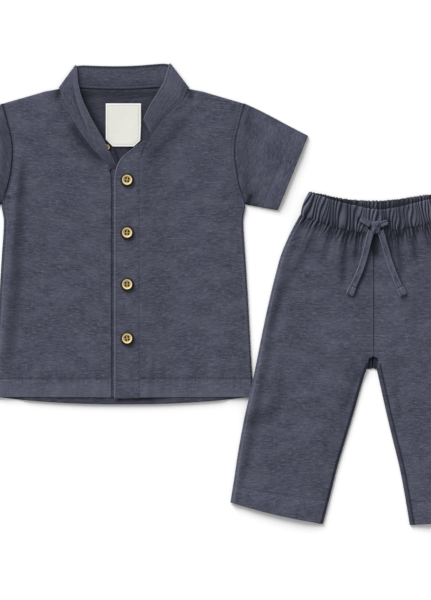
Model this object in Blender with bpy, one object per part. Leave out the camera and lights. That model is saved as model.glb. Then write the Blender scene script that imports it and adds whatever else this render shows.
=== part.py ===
"""A baby's band-collar shirt and pull-on drawstring trousers, laid flat side by side.

Sizes are in millimetres in the tables and in metres in the finished meshes. X runs to the right of someone
who looks down on the set, Y towards the shirt's neck, and Z up from the surface that the set lies on.
"""
import math

import bmesh
import bpy
from mathutils import Vector

MM = 0.001
ALIKE = 1e-9           # two places along a row that differ by less are the same

# Cloth
CLOTH = 1.2            # wall of one layer of jersey
DOUBLE = 1.8           # wall of a turned or faced band
GAP = 0.3              # room between two pieces that touch
SEAM = 0.5             # room along a curved seam
HEM_RISE = 0.5         # how far a turned hem stands above its panel
LAYER = CLOTH + GAP    # height at which the second layer starts
LIP = 1.3              # how far a front's edge curls down at a fold
LIP_WIDTH = 3.0        # width of that curl
TUCK = 3.2             # how far a back stays inside the folded edge

# Places of the two garments on the surface: the shirt's centre front at its hem, the trousers' likewise
SHIRT_AT = (-107.6, -113.6)
TROUSERS_AT = (167.4, -253.8)

# Shirt
SHIRT_HEM_BAND = 20.0
SHIRT_PUFF = 1.1       # how far the fronts stand off the back
PLACKET_RISE = 2.1     # the left front climbs this much to meet the upper band
PLACKET_SLOPE = 24.0   # over this width
BAND_EDGE = 19.0       # the left front starts here, beside the upper band
COLLAR_LIFT = 2.6      # free edge of the collar above its seam
COLLAR_BASE = 0.45     # room under the collar's fronts
COLLAR_START = 0.6     # the left one starts this much higher, beside the upper band
COLLAR_RISE = 0.55     # and both rise this much before they fold over their own back
FOLD_TURNS = (135, 90, 45, 0)
CUFF_BAND = 17.0
SLEEVE_PUFF = 1.0
SLEEVE_WIDTH = 100.0   # a rough size of the sleeve across, for its rounded edges
SLEEVE_LENGTH = 80.0   # and from armhole to cuff, for its turned hem
BACK_HEM_DROP = 8.0    # the back hem hangs this much lower at its centre
BUTTON_X = 4.1
BUTTON_HEIGHTS = (239.3, 181.3, 124.5, 65.0)
BUTTON_RADIUS = 7.0
BUTTON_SIDES = 20
BUTTON_PROFILE = ((0.0, 1.5), (0.5, 1.5), (0.6, 2.0), (0.72, 2.5), (0.86, 2.4), (0.97, 1.9), (1.0, 1.2),
                  (0.93, 0.4), (0.7, 0.0), (0.0, 0.0))
COLLAR_BUTTON_AT = (-18.5, 275.0)
COLLAR_BUTTON_SIZE = 0.6
HOLE_RADIUS = 0.8
HOLE_OFFSET = 1.6
ARMPIT = 6             # row of the front tables that meets the underarm
SHOULDER = 14          # last row of the front tables
BACK_TOP = 13.6        # the back ends here, inside the folded shoulder

# Neck and shoulder edge of the back, from the centre outwards: x, y
BACK_SHOULDER = ((0.0, 337.8), (40.0, 338.6), (62.0, 338.6), (76.0, 333.6))

# Left front, one row for each section from hem to shoulder:
# inner edge x, y; outer edge x, y
FRONT_LEFT = (
    (19.0, 0.0, 141.7, 0.5),
    (19.0, 22.0, 141.4, 22.0),
    (19.0, 60.0, 139.5, 58.0),
    (19.0, 105.0, 137.0, 105.0),
    (19.0, 150.0, 134.2, 150.0),
    (19.0, 190.0, 131.6, 192.0),
    (19.0, 215.0, 133.7, 212.6),
    (19.0, 235.0, 127.2, 234.0),
    (19.0, 255.0, 123.6, 254.0),
    (22.0, 272.0, 122.3, 272.0),
    (30.0, 288.0, 124.0, 288.0),
    (42.9, 305.8, 127.5, 302.0),
    (54.5, 317.9, 129.8, 311.0),
    (64.0, 327.0, 131.6, 317.0),
    (70.2, 339.9, 132.6, 321.8),
)

# Inner edge of the right front, one row for each section of the left front: distance from the centre, height
FRONT_RIGHT_INNER = (
    (14.0, 0.0), (14.0, 22.0), (14.0, 60.0), (14.0, 105.0), (14.0, 150.0), (14.0, 190.0), (14.0, 212.0),
    (14.0, 232.0), (14.6, 247.0), (19.5, 258.5), (33.6, 273.4), (46.8, 291.0), (57.8, 309.7), (65.5, 327.3),
    (69.4, 339.9),
)

# Upper band, one row for each section from hem to collar: front edge x, y; sewn edge x, y
PLACKET_LEFT = (
    (-10.0, -1.2, 18.7, -0.8),
    (-10.0, 60.0, 18.7, 60.0),
    (-10.0, 120.0, 18.7, 120.0),
    (-10.0, 180.0, 18.7, 180.0),
    (-10.0, 228.0, 18.7, 228.0),
    (-9.5, 245.2, 18.6, 246.0),
    (-6.4, 256.5, 18.8, 257.5),
    (-1.1, 264.8, 20.2, 268.5),
    (9.5, 273.2, 23.4, 276.5),
    (19.6, 280.5, 26.4, 282.8),
)

# Under band, in the same columns
PLACKET_RIGHT = (
    (-13.7, 0.0, 14.3, 0.0),
    (-13.7, 80.0, 14.3, 80.0),
    (-13.7, 160.0, 14.3, 160.0),
    (-13.7, 236.0, 14.3, 236.0),
    (-13.4, 248.0, 14.3, 252.0),
    (-7.0, 257.0, 9.0, 261.0),
    (-8.6, 266.0, 0.5, 267.5),
    (-12.0, 274.5, -4.6, 273.5),
)

# Collar fronts, one row for each section from the front end to the shoulder fold:
# row of the front's table that the sewn edge follows, free edge x, y
COLLAR_LEFT = (
    (10.0, 21.9, 305.8),
    (10.5, 25.6, 315.0),
    (11.0, 29.5, 322.5),
    (11.5, 34.0, 329.6),
    (12.0, 38.6, 337.0),
    (12.5, 42.2, 343.4),
    (13.0, 44.6, 348.2),
    (13.5, 47.4, 357.5),
    (14.0, 50.0, 366.5),
)
COLLAR_RIGHT = (
    (9.0, 9.6, 259.0),
    (9.5, 15.0, 270.0),
    (10.0, 20.9, 281.9),
    (10.5, 28.0, 294.3),
    (11.0, 34.6, 306.0),
    (11.5, 40.5, 317.9),
    (12.0, 44.2, 326.0),
    (12.5, 47.0, 334.0),
    (13.0, 48.9, 342.0),
    (13.5, 50.2, 350.0),
    (14.0, 51.2, 364.8),
)

# Collar back, one row for each section from the left fold to the right: sewn edge x, y; free edge x, y
COLLAR_BACK = (
    (54.0, 341.3, 43.5, 367.2),
    (39.0, 340.8, 32.0, 366.4),
    (20.0, 339.4, 17.0, 365.2),
    (0.0, 338.6, 0.0, 364.5),
    (-20.0, 338.7, -17.0, 364.5),
    (-39.0, 339.5, -32.0, 364.9),
    (-54.0, 340.6, -44.0, 365.3),
)

# Cuff of a sleeve: underarm corner and top corner
CUFF_LOW = (169.7, 205.8)
CUFF_HIGH = (203.0, 287.7)
SLEEVE_ROWS = (0.0, 0.12, 0.3, 0.5, 0.7, 0.79, 0.83, 1.0)
EDGE_ROUNDS = (math.pi * 0.25, math.pi * 0.5, math.pi * 0.75)
TOP_MARGIN = 0.01

# Label inside the back neck: left, right, top, bottom, and the cut of its lower corners
LABEL = (-19.4, 19.4, 323.3, 275.8)
LABEL_CUT = 8.0

# Soft folds of the shirt, one row each: start x, y; end x, y; half width; height
SHIRT_FOLDS = (
    (-116.0, 288.0, -124.0, 60.0, 6.0, 0.8),
    (-62.0, 210.0, -118.0, 196.0, 9.0, 0.6),
    (112.0, 246.0, 88.0, 150.0, 9.0, 0.6),
    (60.0, 40.0, 124.0, 70.0, 10.0, 0.5),
    (-30.0, 120.0, -96.0, 92.0, 10.0, 0.5),
    (139.0, 219.0, 152.0, 252.0, 4.0, 0.7),
    (-139.0, 219.0, -152.0, 252.0, 4.0, 0.7),
    (146.0, 300.0, 176.0, 262.0, 6.0, 0.6),
    (-148.0, 298.0, -180.0, 258.0, 6.0, 0.6),
)

# Trousers
TROUSER_HEM_BAND = 22.0
LEG_PUFF = 1.5
GATHERS = 31           # over the front, and as many over the back
GATHER_BAND = 1.2      # height of a gather on the waistband
GATHER_LEG = 1.1       # height of a gather at the top of a leg
GATHER_REACH = 46.0    # how far down a leg the longest gathers run
WAIST_RISE = 1.6       # the fronts swell this much where they are gathered in
WAIST_EASE = 34.0      # and flatten again over this length
LEG_ROW = 26.0         # rough length of cloth between two rows near the hem
CLEAR_OF_FOLDS = 60.0  # this far from a fold a leg's front has its full height
WAIST_LEFT_X = -80.5
WAIST_RIGHT_X = 91.0
CROTCH = 7             # row of the leg tables at the front crotch
LEG_LIFT = 4.0         # the right leg climbs this much over the shirt's corner
LIFT_AT = (-136.0, 148.0)
LIFT_FLAT = 22.0
LIFT_EASE = 22.0

# Right leg (the viewer's left), one row for each section from the waist to the hem:
# outer edge x, y; inner edge x, y
LEG_RIGHT = (
    (-80.8, 338.6, -0.3, 320.4),
    (-90.3, 322.4, -0.3, 304.0),
    (-101.2, 298.5, -0.3, 281.0),
    (-107.0, 278.3, -0.3, 260.0),
    (-112.6, 256.0, -0.4, 239.0),
    (-117.6, 234.0, -0.7, 219.0),
    (-121.8, 214.0, -1.2, 201.0),
    (-125.4, 196.0, -1.8, 185.4),
    (-129.0, 178.0, -7.0, 173.0),
    (-133.4, 157.5, -13.4, 153.4),
    (-138.0, 136.5, -21.7, 124.0),
    (-142.3, 116.8, -30.4, 95.0),
    (-148.9, 80.6, -39.1, 66.2),
    (-153.6, 49.0, -47.2, 34.0),
    (-157.5, 24.8, -55.7, 1.1),
)

# Left leg, in the same columns
LEG_LEFT = (
    (91.3, 337.6, 0.3, 320.4),
    (102.0, 320.0, 0.3, 304.0),
    (110.8, 300.0, 0.3, 281.0),
    (117.0, 276.0, 0.3, 260.0),
    (121.8, 253.0, 0.2, 239.0),
    (125.2, 231.0, -0.1, 219.0),
    (127.8, 210.0, -0.6, 201.0),
    (129.8, 192.0, -1.0, 185.4),
    (131.4, 176.0, 3.4, 171.4),
    (133.2, 154.0, 8.6, 148.0),
    (135.2, 130.0, 14.4, 122.0),
    (137.0, 106.0, 20.6, 96.0),
    (139.4, 74.0, 28.3, 64.5),
    (141.6, 40.0, 34.2, 34.0),
    (143.2, 12.1, 39.8, -0.1),
)

# Columns and rows that the panels of a leg share, so that one lies true on the other
LEG_COLUMNS = (0.0, 0.07, 0.14, 0.22, 0.32, 0.46, 0.7, 0.9, 1.0)
LEG_ROWS = (0.0, 1.0, 2.0, 3.0, 4.0, 5.0, 6.0, 7.0, 7.5, 8.0, 8.5, 9.0, 9.5, 10.0, 10.5, 11.0, 12.0, 13.0,
            14.0)

# How much lower the back crotch lies than the front one
BACK_CROTCH_DROP = 12.0

# Waistband, one row for each section from left to right:
# sewn edge x, y; front's top edge x, y; back's top edge x, y
WAISTBAND = (
    (-80.5, 339.6, -71.0, 365.6, -70.8, 366.6),
    (-67.0, 335.8, -59.0, 361.8, -58.0, 364.2),
    (-46.0, 328.6, -41.0, 356.2, -40.0, 360.4),
    (-24.0, 323.3, -21.0, 351.4, -20.0, 357.6),
    (2.0, 321.2, 4.0, 346.8, 4.0, 356.7),
    (28.0, 324.8, 26.0, 349.6, 26.0, 358.6),
    (56.0, 330.2, 51.0, 355.4, 51.0, 362.2),
    (76.0, 334.6, 68.0, 360.0, 67.0, 364.2),
    (91.0, 338.8, 81.0, 364.9, 80.6, 366.2),
)
BACK_BAND = 1.4
FRONT_BAND_FROM = 3.3

# Soft folds of the trousers, in the columns of the shirt's
TROUSER_FOLDS = (
    (-14.0, 176.0, -70.0, 206.0, 9.0, 1.0),
    (10.0, 178.0, 66.0, 214.0, 9.0, 1.0),
    (-30.0, 150.0, -92.0, 132.0, 11.0, 0.8),
    (34.0, 140.0, 96.0, 168.0, 11.0, 0.8),
    (-82.0, 300.0, -106.0, 190.0, 9.0, 0.7),
    (92.0, 300.0, 112.0, 200.0, 9.0, 0.7),
    (-60.0, 100.0, -126.0, 70.0, 13.0, 0.7),
    (52.0, 60.0, 112.0, 92.0, 13.0, 0.7),
)

# Drawstring: width and wall of the flat cord, and its routes by hand, one row for each point: x, y
TAPE_WIDTH = 6.8
TAPE_WALL = 1.6
LEAD_LEFT = ((13.6, 332.6), (11.0, 332.0), (8.6, 331.2))
LEAD_RIGHT = ((-13.8, 334.8), (-9.0, 333.4), (-4.2, 331.6))
KNOT_AT = (2.2, 327.4)
KNOT_SIZE = (5.6, 6.8, 2.6)
TAIL_LEFT = ((8.6, 319.2), (11.8, 308.6), (16.5, 292.3), (21.3, 278.3), (26.3, 266.3), (28.6, 261.4))
TAIL_RIGHT = ((-4.0, 319.6), (-6.2, 311.0), (-9.5, 297.9), (-13.8, 283.1), (-19.4, 269.8), (-22.8, 262.2))
TAB_LENGTH = 10.0
TAB_WIDTH = 8.4

# Colours: red, green, blue (linear), roughness
JERSEY = (0.072, 0.075, 0.108, 0.92)
JERSEY_INSIDE = (0.048, 0.05, 0.074, 0.94)
STRAW = (0.68, 0.52, 0.2, 0.35)
CREAM = (0.8, 0.79, 0.73, 0.7)


def smooth(t):
    """Zero to one with soft ends."""
    t = min(1.0, max(0.0, t))
    return t * t * (3.0 - 2.0 * t)


def section(table, at):
    """All columns of a table at a fractional row number, on a smooth curve through its rows."""
    last = len(table) - 1
    at = min(max(at, 0.0), float(last))
    i = min(int(at), last - 1)
    t = at - i
    rows = [table[min(max(i + k, 0), last)] for k in (-1, 0, 1, 2)]
    return [
        0.5 * (2 * b + (c - a) * t + (2 * a - 5 * b + 4 * c - d) * t * t + (3 * b - a - 3 * c + d) * t ** 3)
        for a, b, c, d in zip(*rows)
    ]


def between(a, b, t):
    return a + (b - a) * t


def steps(first, last, count):
    return [between(first, last, i / count) for i in range(count + 1)]


def height_at(x, line):
    """Height of an edge, given as points (x, y) in order of x."""
    for (x0, y0), (x1, y1) in zip(line, line[1:]):
        if x <= x1:
            return between(y0, y1, max(0.0, (x - x0) / (x1 - x0)))
    return line[-1][1]


def relief(x, y, folds):
    """Height that the soft folds add at a place."""
    total = 0.0
    for x0, y0, x1, y1, half, height in folds:
        along = Vector((x1 - x0, y1 - y0))
        offset = Vector((x - x0, y - y0))
        t = offset.dot(along) / along.length_squared
        if -0.3 < t < 1.3:
            away = (offset - along * t).length
            total += height * math.exp(-((away / half) ** 2)) * smooth(min(t + 0.3, 1.3 - t) / 0.45)
    return total


def gather(x):
    """Height of the gathers, from 0 to 1, at a place along the waist: uneven in spacing and depth."""
    t = (x - WAIST_LEFT_X) / (WAIST_RIGHT_X - WAIST_LEFT_X)
    turn = GATHERS * t + 0.30 * math.sin(9.0 * t) + 0.22 * math.sin(31.0 * t + 1.0)
    depth = 0.78 + 0.22 * math.sin(17.0 * t + 0.7)
    return depth * (0.5 - 0.5 * math.cos(2.0 * math.pi * turn))


def fill(bm, one, two):
    """Triangles between two rows, each a list of (place along the row, vertex), by the shorter diagonal."""
    i = j = 0
    while i < len(one) - 1 or j < len(two) - 1:
        reach_one = one[i + 1][0] - two[j][0] if i < len(one) - 1 else math.inf
        reach_two = two[j + 1][0] - one[i][0] if j < len(two) - 1 else math.inf
        if reach_one <= reach_two + ALIKE:
            bm.faces.new((one[i][1], one[i + 1][1], two[j][1]))
            i += 1
        else:
            bm.faces.new((one[i][1], two[j + 1][1], two[j][1]))
            j += 1


def grid(point, us, vs):
    """A surface: rows of (place of the row, [(place along it, point), ...])."""
    return [(v, [(u, point(u, v)) for u in us]) for v in vs]


def skin(bm, surface, at, ring):
    """Adds a surface's vertices and faces, and returns its rows of vertices."""
    rows = []
    for v, row in surface:
        made = [(u, bm.verts.new(Vector((x + at[0], y + at[1], z)) * MM)) for u, (x, y, z) in row]
        if ring:
            made.append((1.0, made[0][1]))
        rows.append((v, made))
    for (_, one), (_, two) in zip(rows, rows[1:]):
        fill(bm, one, two)
    return rows


def shell(name, outer, inner, at, look, ring=False):
    """A closed wall between two surfaces; a ring's rows run all the way round."""
    bm = bmesh.new()
    out = skin(bm, outer, at, ring)
    back = skin(bm, inner, at, ring)
    for end in (0, -1):
        fill(bm, out[end][1], back[end][1])
        if not ring:
            fill(bm, [(v, row[end][1]) for v, row in out], [(v, row[end][1]) for v, row in back])
    return finish(name, bm, look)


def finish(name, bm, look):
    """Makes the object, with its faces pointing out and its own material."""
    bmesh.ops.recalc_face_normals(bm, faces=bm.faces)
    mesh = bpy.data.meshes.new(name)
    bm.to_mesh(mesh)
    bm.free()
    mesh.shade_smooth()
    mesh.set_sharp_from_angle(angle=math.radians(35))
    material = bpy.data.materials.new(name)
    material.use_nodes = True
    shader = material.node_tree.nodes["Principled BSDF"]
    shader.inputs["Base Color"].default_value = (*look[:3], 1.0)
    shader.inputs["Roughness"].default_value = look[3]
    mesh.materials.append(material)
    obj = bpy.data.objects.new(name, mesh)
    bpy.context.scene.collection.objects.link(obj)
    return obj


def hem_rise(away, band):
    """A turned hem stands a little above the panel, up to its stitch line."""
    return HEM_RISE * (1.0 - smooth((away - band + 1.5) / 1.5))


def lip(away):
    """How far an edge has curled down at this distance from a fold."""
    return LIP * max(0.0, 1.0 - away / LIP_WIDTH) ** 2


def side_lip(away, v):
    """The curl along the side seam, which ends at the underarm."""
    return lip(away) * (1.0 - smooth(v - ARMPIT + 1.0))


def front_point(table, side, u, v, lift, wall):
    """A point of a shirt front: u from the inner edge to the outer, v from hem to shoulder."""
    ax, ay, bx, by = section(table, v)
    x = between(ax, bx, u)
    y = between(ay, by, u)
    away = (1.0 - u) * (bx - ax)
    puff = SHIRT_PUFF * smooth(away / 30.0) * smooth(v / 1.5) * smooth((SHOULDER - v) / 3.0)
    puff += relief(side * x, y, SHIRT_FOLDS) * smooth(away / 14.0)
    z = LAYER + puff + lift(x, v) - side_lip(away, v) - (1.2 if v >= SHOULDER else 0.0) * smooth(u * 8)
    if wall:
        z += CLOTH + hem_rise(y, SHIRT_HEM_BAND)
    return side * x, y, z


def front_rows(extra):
    return sorted({0.0, 0.45, 0.86, 0.96, 1.5, 5.5, *range(1, SHOULDER + 1), *extra})


def shirt_front(name, table, side, lift):
    edge = [1.0 - d / 120.0 for d in (7.0, 3.2, 1.2)] + [1.0]
    us = steps(0.0, 0.84, 7) + edge
    halves = (7.5, 8.5, 10.5, 11.5, 12.5, 13.5, 13.9)
    outer = grid(lambda u, v: front_point(table, side, u, v, lift, True), us, front_rows(halves))
    inner = grid(lambda u, v: front_point(table, side, u, v, lift, False), [0.0, 0.08, 0.2, 0.5, 0.84] + edge,
                 front_rows(halves))
    return shell(name, outer, inner, SHIRT_AT, JERSEY)


def climb_left(x, v):
    """The left front climbs beside the upper band, and less where it meets the collar."""
    return PLACKET_RISE * (1.0 - smooth((x - BAND_EDGE) / PLACKET_SLOPE)) * (1.0 - smooth((v - 9.0) / 3.0))


def lie_right(x, v):
    return 0.0


def front_right_table():
    return tuple((x, y, bx, by) for (x, y), (_, _, bx, by) in zip(FRONT_RIGHT_INNER, FRONT_LEFT))


def back_point(u, v, z):
    """A point of the shirt back: u from -1 to 1 across, v from hem to shoulder."""
    _, _, bx, by = section(FRONT_LEFT, v)
    folded = 1.0 - smooth(v - ARMPIT + 0.5)
    x = u * (bx - TUCK * folded - 0.2)
    hem_drop = -BACK_HEM_DROP * (1.0 - abs(u) ** 2.2) * (1.0 - smooth(v / 2.0))
    _, _, tip_x, tip_y = section(FRONT_LEFT, BACK_TOP)
    across = height_at(abs(x), (*BACK_SHOULDER, (tip_x, tip_y)))
    return x, by + hem_drop + (across - tip_y) * smooth((v - ARMPIT) / (BACK_TOP - ARMPIT)), z


def shirt_back():
    us = [-1.0, -0.9, -0.74, -0.57, -0.48, -0.3, -0.15, 0.0, 0.15, 0.3, 0.48, 0.57, 0.74, 0.9, 1.0]
    vs = [0.0, 0.5, 1.0, 2.0, 3.0, 4.0, 5.0, *range(ARMPIT, SHOULDER), BACK_TOP]
    outer = grid(lambda u, v: back_point(u, v, CLOTH), us, vs)
    inner = grid(lambda u, v: back_point(u, v, 0.0), us[::2], vs)
    return shell("shirt_back", outer, inner, SHIRT_AT, JERSEY_INSIDE)


def band_point(table, u, v, z, crown):
    ax, ay, bx, by = section(table, v)
    return between(ax, bx, u), between(ay, by, u), z + crown * (4.0 * u * (1.0 - u)) ** 0.5


def placket(name, table, z):
    """A button band: doubled cloth, a little rounded at both edges."""
    last = len(table) - 1
    vs = steps(0, last, 2 * last)
    outer = grid(lambda u, v: band_point(table, u, v, z + DOUBLE - 0.4, 0.4), [0.0, 0.06, 0.5, 0.94, 1.0], vs)
    inner = grid(lambda u, v: band_point(table, u, v, z, 0.0), [0.0, 0.5, 1.0], vs)
    return shell(name, outer, inner, SHIRT_AT, JERSEY)


def flat_ring(u_low, u_high, low, high, rounds):
    """A flattened loop as (place across, height): over the top, round an edge, below, round the other."""
    middle = (low + high) / 2.0
    half = (high - low) / 2.0
    loop = [(u, high) for u in steps(u_low, u_high, 8)]
    loop += [(u_high + half * math.sin(a), middle + half * math.cos(a)) for a in rounds]
    loop += [(u, low) for u in steps(u_high, u_low, 8)]
    loop += [(u_low - half * math.sin(a), middle - half * math.cos(a)) for a in rounds]
    return loop


def sleeve_place(across, v):
    """A place of the sleeve's plan: across from the underarm edge to the top edge, v out to the cuff."""
    low = section(FRONT_LEFT, ARMPIT)
    high = section(FRONT_LEFT, SHOULDER)
    kept = min(1.0, max(0.0, across))
    armhole = section(FRONT_LEFT, between(ARMPIT, SHOULDER, kept))
    start = Vector((armhole[2] + SEAM, armhole[3]))
    end = Vector(CUFF_LOW).lerp(Vector(CUFF_HIGH), kept)
    out = Vector((high[2] - low[2], high[3] - low[3])).normalized() * SLEEVE_WIDTH * (across - kept)
    return start.lerp(end, v) + out


def sleeve_tube(side, inset, low, high, hemmed):
    """One face of the flattened tube, outside or inside, in rows from the armhole to the cuff."""
    start = inset / SLEEVE_WIDTH
    loop = flat_ring(0.0, 1.0, low / SLEEVE_WIDTH, high / SLEEVE_WIDTH, EDGE_ROUNDS)
    rows = []
    for v in SLEEVE_ROWS:
        row = []
        for i, (across, height) in enumerate(loop):
            spot = sleeve_place(start + across * (1.0 - 2.0 * start), v)
            z = height * SLEEVE_WIDTH
            if z > high - TOP_MARGIN:
                inside = smooth(min(across, 1.0 - across) / 0.2)
                z += SLEEVE_PUFF * inside * (0.35 + 0.65 * math.sin(math.pi * min(1.0, v * 1.1)))
                z += relief(side * spot.x, spot.y, SHIRT_FOLDS) * inside
                z += hemmed * hem_rise((1.0 - v) * SLEEVE_LENGTH, CUFF_BAND) * inside
            row.append((i / len(loop), (side * spot.x, spot.y, z)))
        rows.append((v, row))
    return rows


def sleeve(name, side):
    """A short sleeve, closed to a tube and pressed flat."""
    edge = (2.0 * CLOTH + GAP) / 2.0
    outer = sleeve_tube(side, edge, 0.0, 2.0 * CLOTH + GAP, 1.0)
    inner = sleeve_tube(side, edge + 0.4, CLOTH, CLOTH + GAP, 0.0)
    return shell(name, outer, inner, SHIRT_AT, JERSEY, ring=True)


def collar_front(side, rows, table):
    """Sections of one collar front: sewn edge, free edge, the outer face's direction."""
    first, last = rows[0][0], rows[-1][0]
    half = []
    for row, x, y in rows:
        ax, ay, _, _ = section(table, row)
        inward = Vector((x - ax, y - ay)).normalized() * SEAM
        share = (row - first) / (last - first)
        base = LAYER + COLLAR_BASE + DOUBLE / 2.0 + COLLAR_RISE * smooth((share - 0.3) / 0.35)
        if side > 0:
            base += COLLAR_START * (1.0 - smooth(share * 3.0))
        tip = base + COLLAR_LIFT * math.sin(math.pi * (0.25 + 0.75 * share)) ** 0.8
        half.append((Vector((side * (ax + inward.x), ay + inward.y, base)), Vector((side * x, y, tip)),
                     Vector((0, 0, 1))))
    return half


def collar_fold(side, sewn, free):
    """Sections that carry the band from its front, over the shoulder fold, to its back."""
    line = (free - sewn).normalized()
    out = Vector((line.y, -line.x, 0)) * side
    low = DOUBLE / 2.0
    radius = (sewn.z - low) / 2.0
    half = []
    for turn in map(math.radians, FOLD_TURNS):
        z = low + radius - radius * math.cos(turn)
        shift = out * radius * math.sin(turn)
        normal = out * math.sin(turn) - Vector((0, 0, 1)) * math.cos(turn)
        half.append((Vector((sewn.x, sewn.y, z)) + shift, Vector((free.x, free.y, z)) + shift, normal))
    return half


def collar_sections():
    """All sections of the band round the neck, from the left front end to the right one."""
    halves = []
    for side, rows, table in ((1, COLLAR_LEFT, FRONT_LEFT), (-1, COLLAR_RIGHT, front_right_table())):
        half = collar_front(side, rows, table)
        halves.append(half + collar_fold(side, half[-1][0], half[-1][1]))
    back = [(Vector((ax, ay, DOUBLE / 2.0)), Vector((bx, by, DOUBLE / 2.0)), Vector((0, 0, -1)))
            for ax, ay, bx, by in COLLAR_BACK]
    return halves[0] + back + halves[1][::-1]


def collar():
    """The band collar: its back lies with the inner face up, its fronts are folded over at the shoulders."""
    rows = collar_sections()

    def face(sign):
        surface = []
        for i, (sewn, free, normal) in enumerate(rows):
            row = []
            for u, share in ((0.0, 0.72), (0.1, 1.0), (0.5, 1.0), (0.9, 1.0), (1.0, 0.72)):
                row.append((u, tuple(sewn.lerp(free, u) + normal * sign * share * DOUBLE / 2.0)))
            surface.append((float(i), row))
        return surface

    return shell("collar", face(1.0), face(-1.0), SHIRT_AT, JERSEY)


def neck_label():
    """A bare woven label with its lower corners cut off."""
    left, right, top, bottom = LABEL

    def spot(u, v, z):
        cut = LABEL_CUT * max(0.0, 1.0 - v * (top - bottom) / LABEL_CUT)
        return between(left + cut, right - cut, u), between(bottom, top, v), z

    vs = [0.0, LABEL_CUT / (top - bottom), 0.5, 1.0]
    low = CLOTH + GAP
    outer = grid(lambda u, v: spot(u, v, low + 1.0), [0.0, 0.5, 1.0], vs)
    inner = grid(lambda u, v: spot(u, v, low), [0.0, 0.5, 1.0], vs)
    return shell("neck_label", outer, inner, SHIRT_AT, CREAM)


def button(name, x, y, z, size=1.0):
    """A sew-through button: turned, with a raised rim, a sunk middle and four holes."""
    bm = bmesh.new()
    points = [bm.verts.new(Vector((share * BUTTON_RADIUS, 0.0, height)) * size * MM)
              for share, height in BUTTON_PROFILE]
    edges = [bm.edges.new(pair) for pair in zip(points, points[1:])]
    bmesh.ops.spin(bm, geom=points + edges, cent=(0, 0, 0), axis=(0, 0, 1), angle=2 * math.pi,
                   steps=BUTTON_SIDES, use_merge=True)
    bmesh.ops.remove_doubles(bm, verts=bm.verts, dist=1e-6)
    obj = finish(name, bm, STRAW)
    obj.location = Vector((x + SHIRT_AT[0], y + SHIRT_AT[1], z)) * MM
    for i in range(4):
        turn = math.radians(45 + 90 * i)
        bm = bmesh.new()
        hole = HOLE_RADIUS * size * MM
        bmesh.ops.create_cone(bm, cap_ends=True, segments=6, radius1=hole, radius2=hole, depth=8 * MM)
        cutter = finish(f"{name}_hole_{i + 1}", bm, STRAW)
        cutter.location = Vector((math.cos(turn), math.sin(turn), 0.0)) * HOLE_OFFSET * size * MM
        cutter.parent = obj
        cutter.hide_render = True
        cutter.display_type = "WIRE"
        cut = obj.modifiers.new("hole", "BOOLEAN")
        cut.object = cutter
        cut.operation = "DIFFERENCE"
    return obj


def leg_lift(x, y):
    """The right leg rises where it lies over the corner of the shirt."""
    away = math.hypot((x - LIFT_AT[0]), (y - LIFT_AT[1]))
    return LEG_LIFT * (1.0 - smooth((away - LIFT_FLAT) / LIFT_EASE))


def waist_line():
    return [(row[0], row[1]) for row in WAISTBAND]


def leg_plan(table, u, v, inset):
    """Plan of a leg panel, with u from the outer edge to the inner and v from waist to hem.

    Returns x, y, the place at the waist that the same thread comes from, and the distance from a folded edge.
    """
    ax, ay, bx, by = section(table, v)
    span = abs(bx - ax)
    inner_inset = inset * smooth((v - CROTCH) / 0.5)
    u = between(inset / span, 1.0 - inner_inset / span, u)
    x = between(ax, bx, u)
    y = between(ay, by, u)
    x0, y0, x1, y1 = table[0]
    at_waist = between(x0, x1, u)
    sag = height_at(at_waist, waist_line()) - 0.9 - between(y0, y1, u)
    y += sag * max(0.0, 1.0 - v / 2.0)
    unfolded = LIP_WIDTH * (1.0 - smooth(v - CROTCH - 0.9))
    return x, y, at_waist, min(u * span, (1.0 - u) * span + unfolded)


def leg_front_z(x, y, v, away, down, reach, gathered, wall):
    puff = LEG_PUFF * smooth(away / 26.0) * smooth(v / 1.5)
    puff += relief(x, y, TROUSER_FOLDS) * smooth(away / 12.0)
    puff += WAIST_RISE * (1.0 - smooth(down / WAIST_EASE))
    z = LAYER + puff - lip(away) * smooth(v / 0.5) + leg_lift(x, y)
    if wall:
        z += CLOTH + GATHER_LEG * gathered * (1.0 - smooth(down / reach))
        z += hem_rise((len(LEG_LEFT) - 1 - v) * LEG_ROW, TROUSER_HEM_BAND)
    return z


def leg_front_point(table, u, v, wall):
    x, y, at_waist, away = leg_plan(table, u, v, 0.0)
    down = max(0.0, height_at(at_waist, waist_line()) - y)
    reach = GATHER_REACH * (0.6 + 0.4 * math.sin(at_waist * 0.37))
    return x, y, leg_front_z(x, y, v, away, down, reach, gather(at_waist), wall)


def leg_front(name, table):
    """A leg's front: many columns where it is gathered, few below."""
    edges = (0.012, 0.028, 0.974, 0.99)
    coarse = sorted({*LEG_COLUMNS, *edges})
    fine = sorted({*coarse, *steps(0.0, 1.0, 60)})
    gathered = [0.0, 0.12, 0.45, 0.9, 1.4, 2.1]
    turned = [13.12, 13.2]
    outer = grid(lambda u, v: leg_front_point(table, u, v, True), fine, gathered)
    outer += grid(lambda u, v: leg_front_point(table, u, v, True), coarse, sorted({*LEG_ROWS[3:], *turned}))
    waist = sorted({*coarse, *steps(0.0, 1.0, 30)})
    inner = grid(lambda u, v: leg_front_point(table, u, v, False), waist, [LEG_ROWS[0]])
    inner += grid(lambda u, v: leg_front_point(table, u, v, False), coarse, LEG_ROWS[1:])
    return shell(name, outer, inner, TROUSERS_AT, JERSEY)


def leg_back_table(table):
    """The back crotch lies lower than the front one, so it shows between the legs."""
    rows = [list(row) for row in table]
    rows[CROTCH][3] -= BACK_CROTCH_DROP
    rows[CROTCH + 1][2:4] = [between(a, b, 0.4) for a, b in zip(table[CROTCH + 1][2:], table[CROTCH + 2][2:])]
    return rows


def leg_back_point(table, u, v, z):
    x, y, _, _ = leg_plan(table, u, v, TUCK)
    return x, y, z + 0.94 * leg_lift(x, y)


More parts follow.
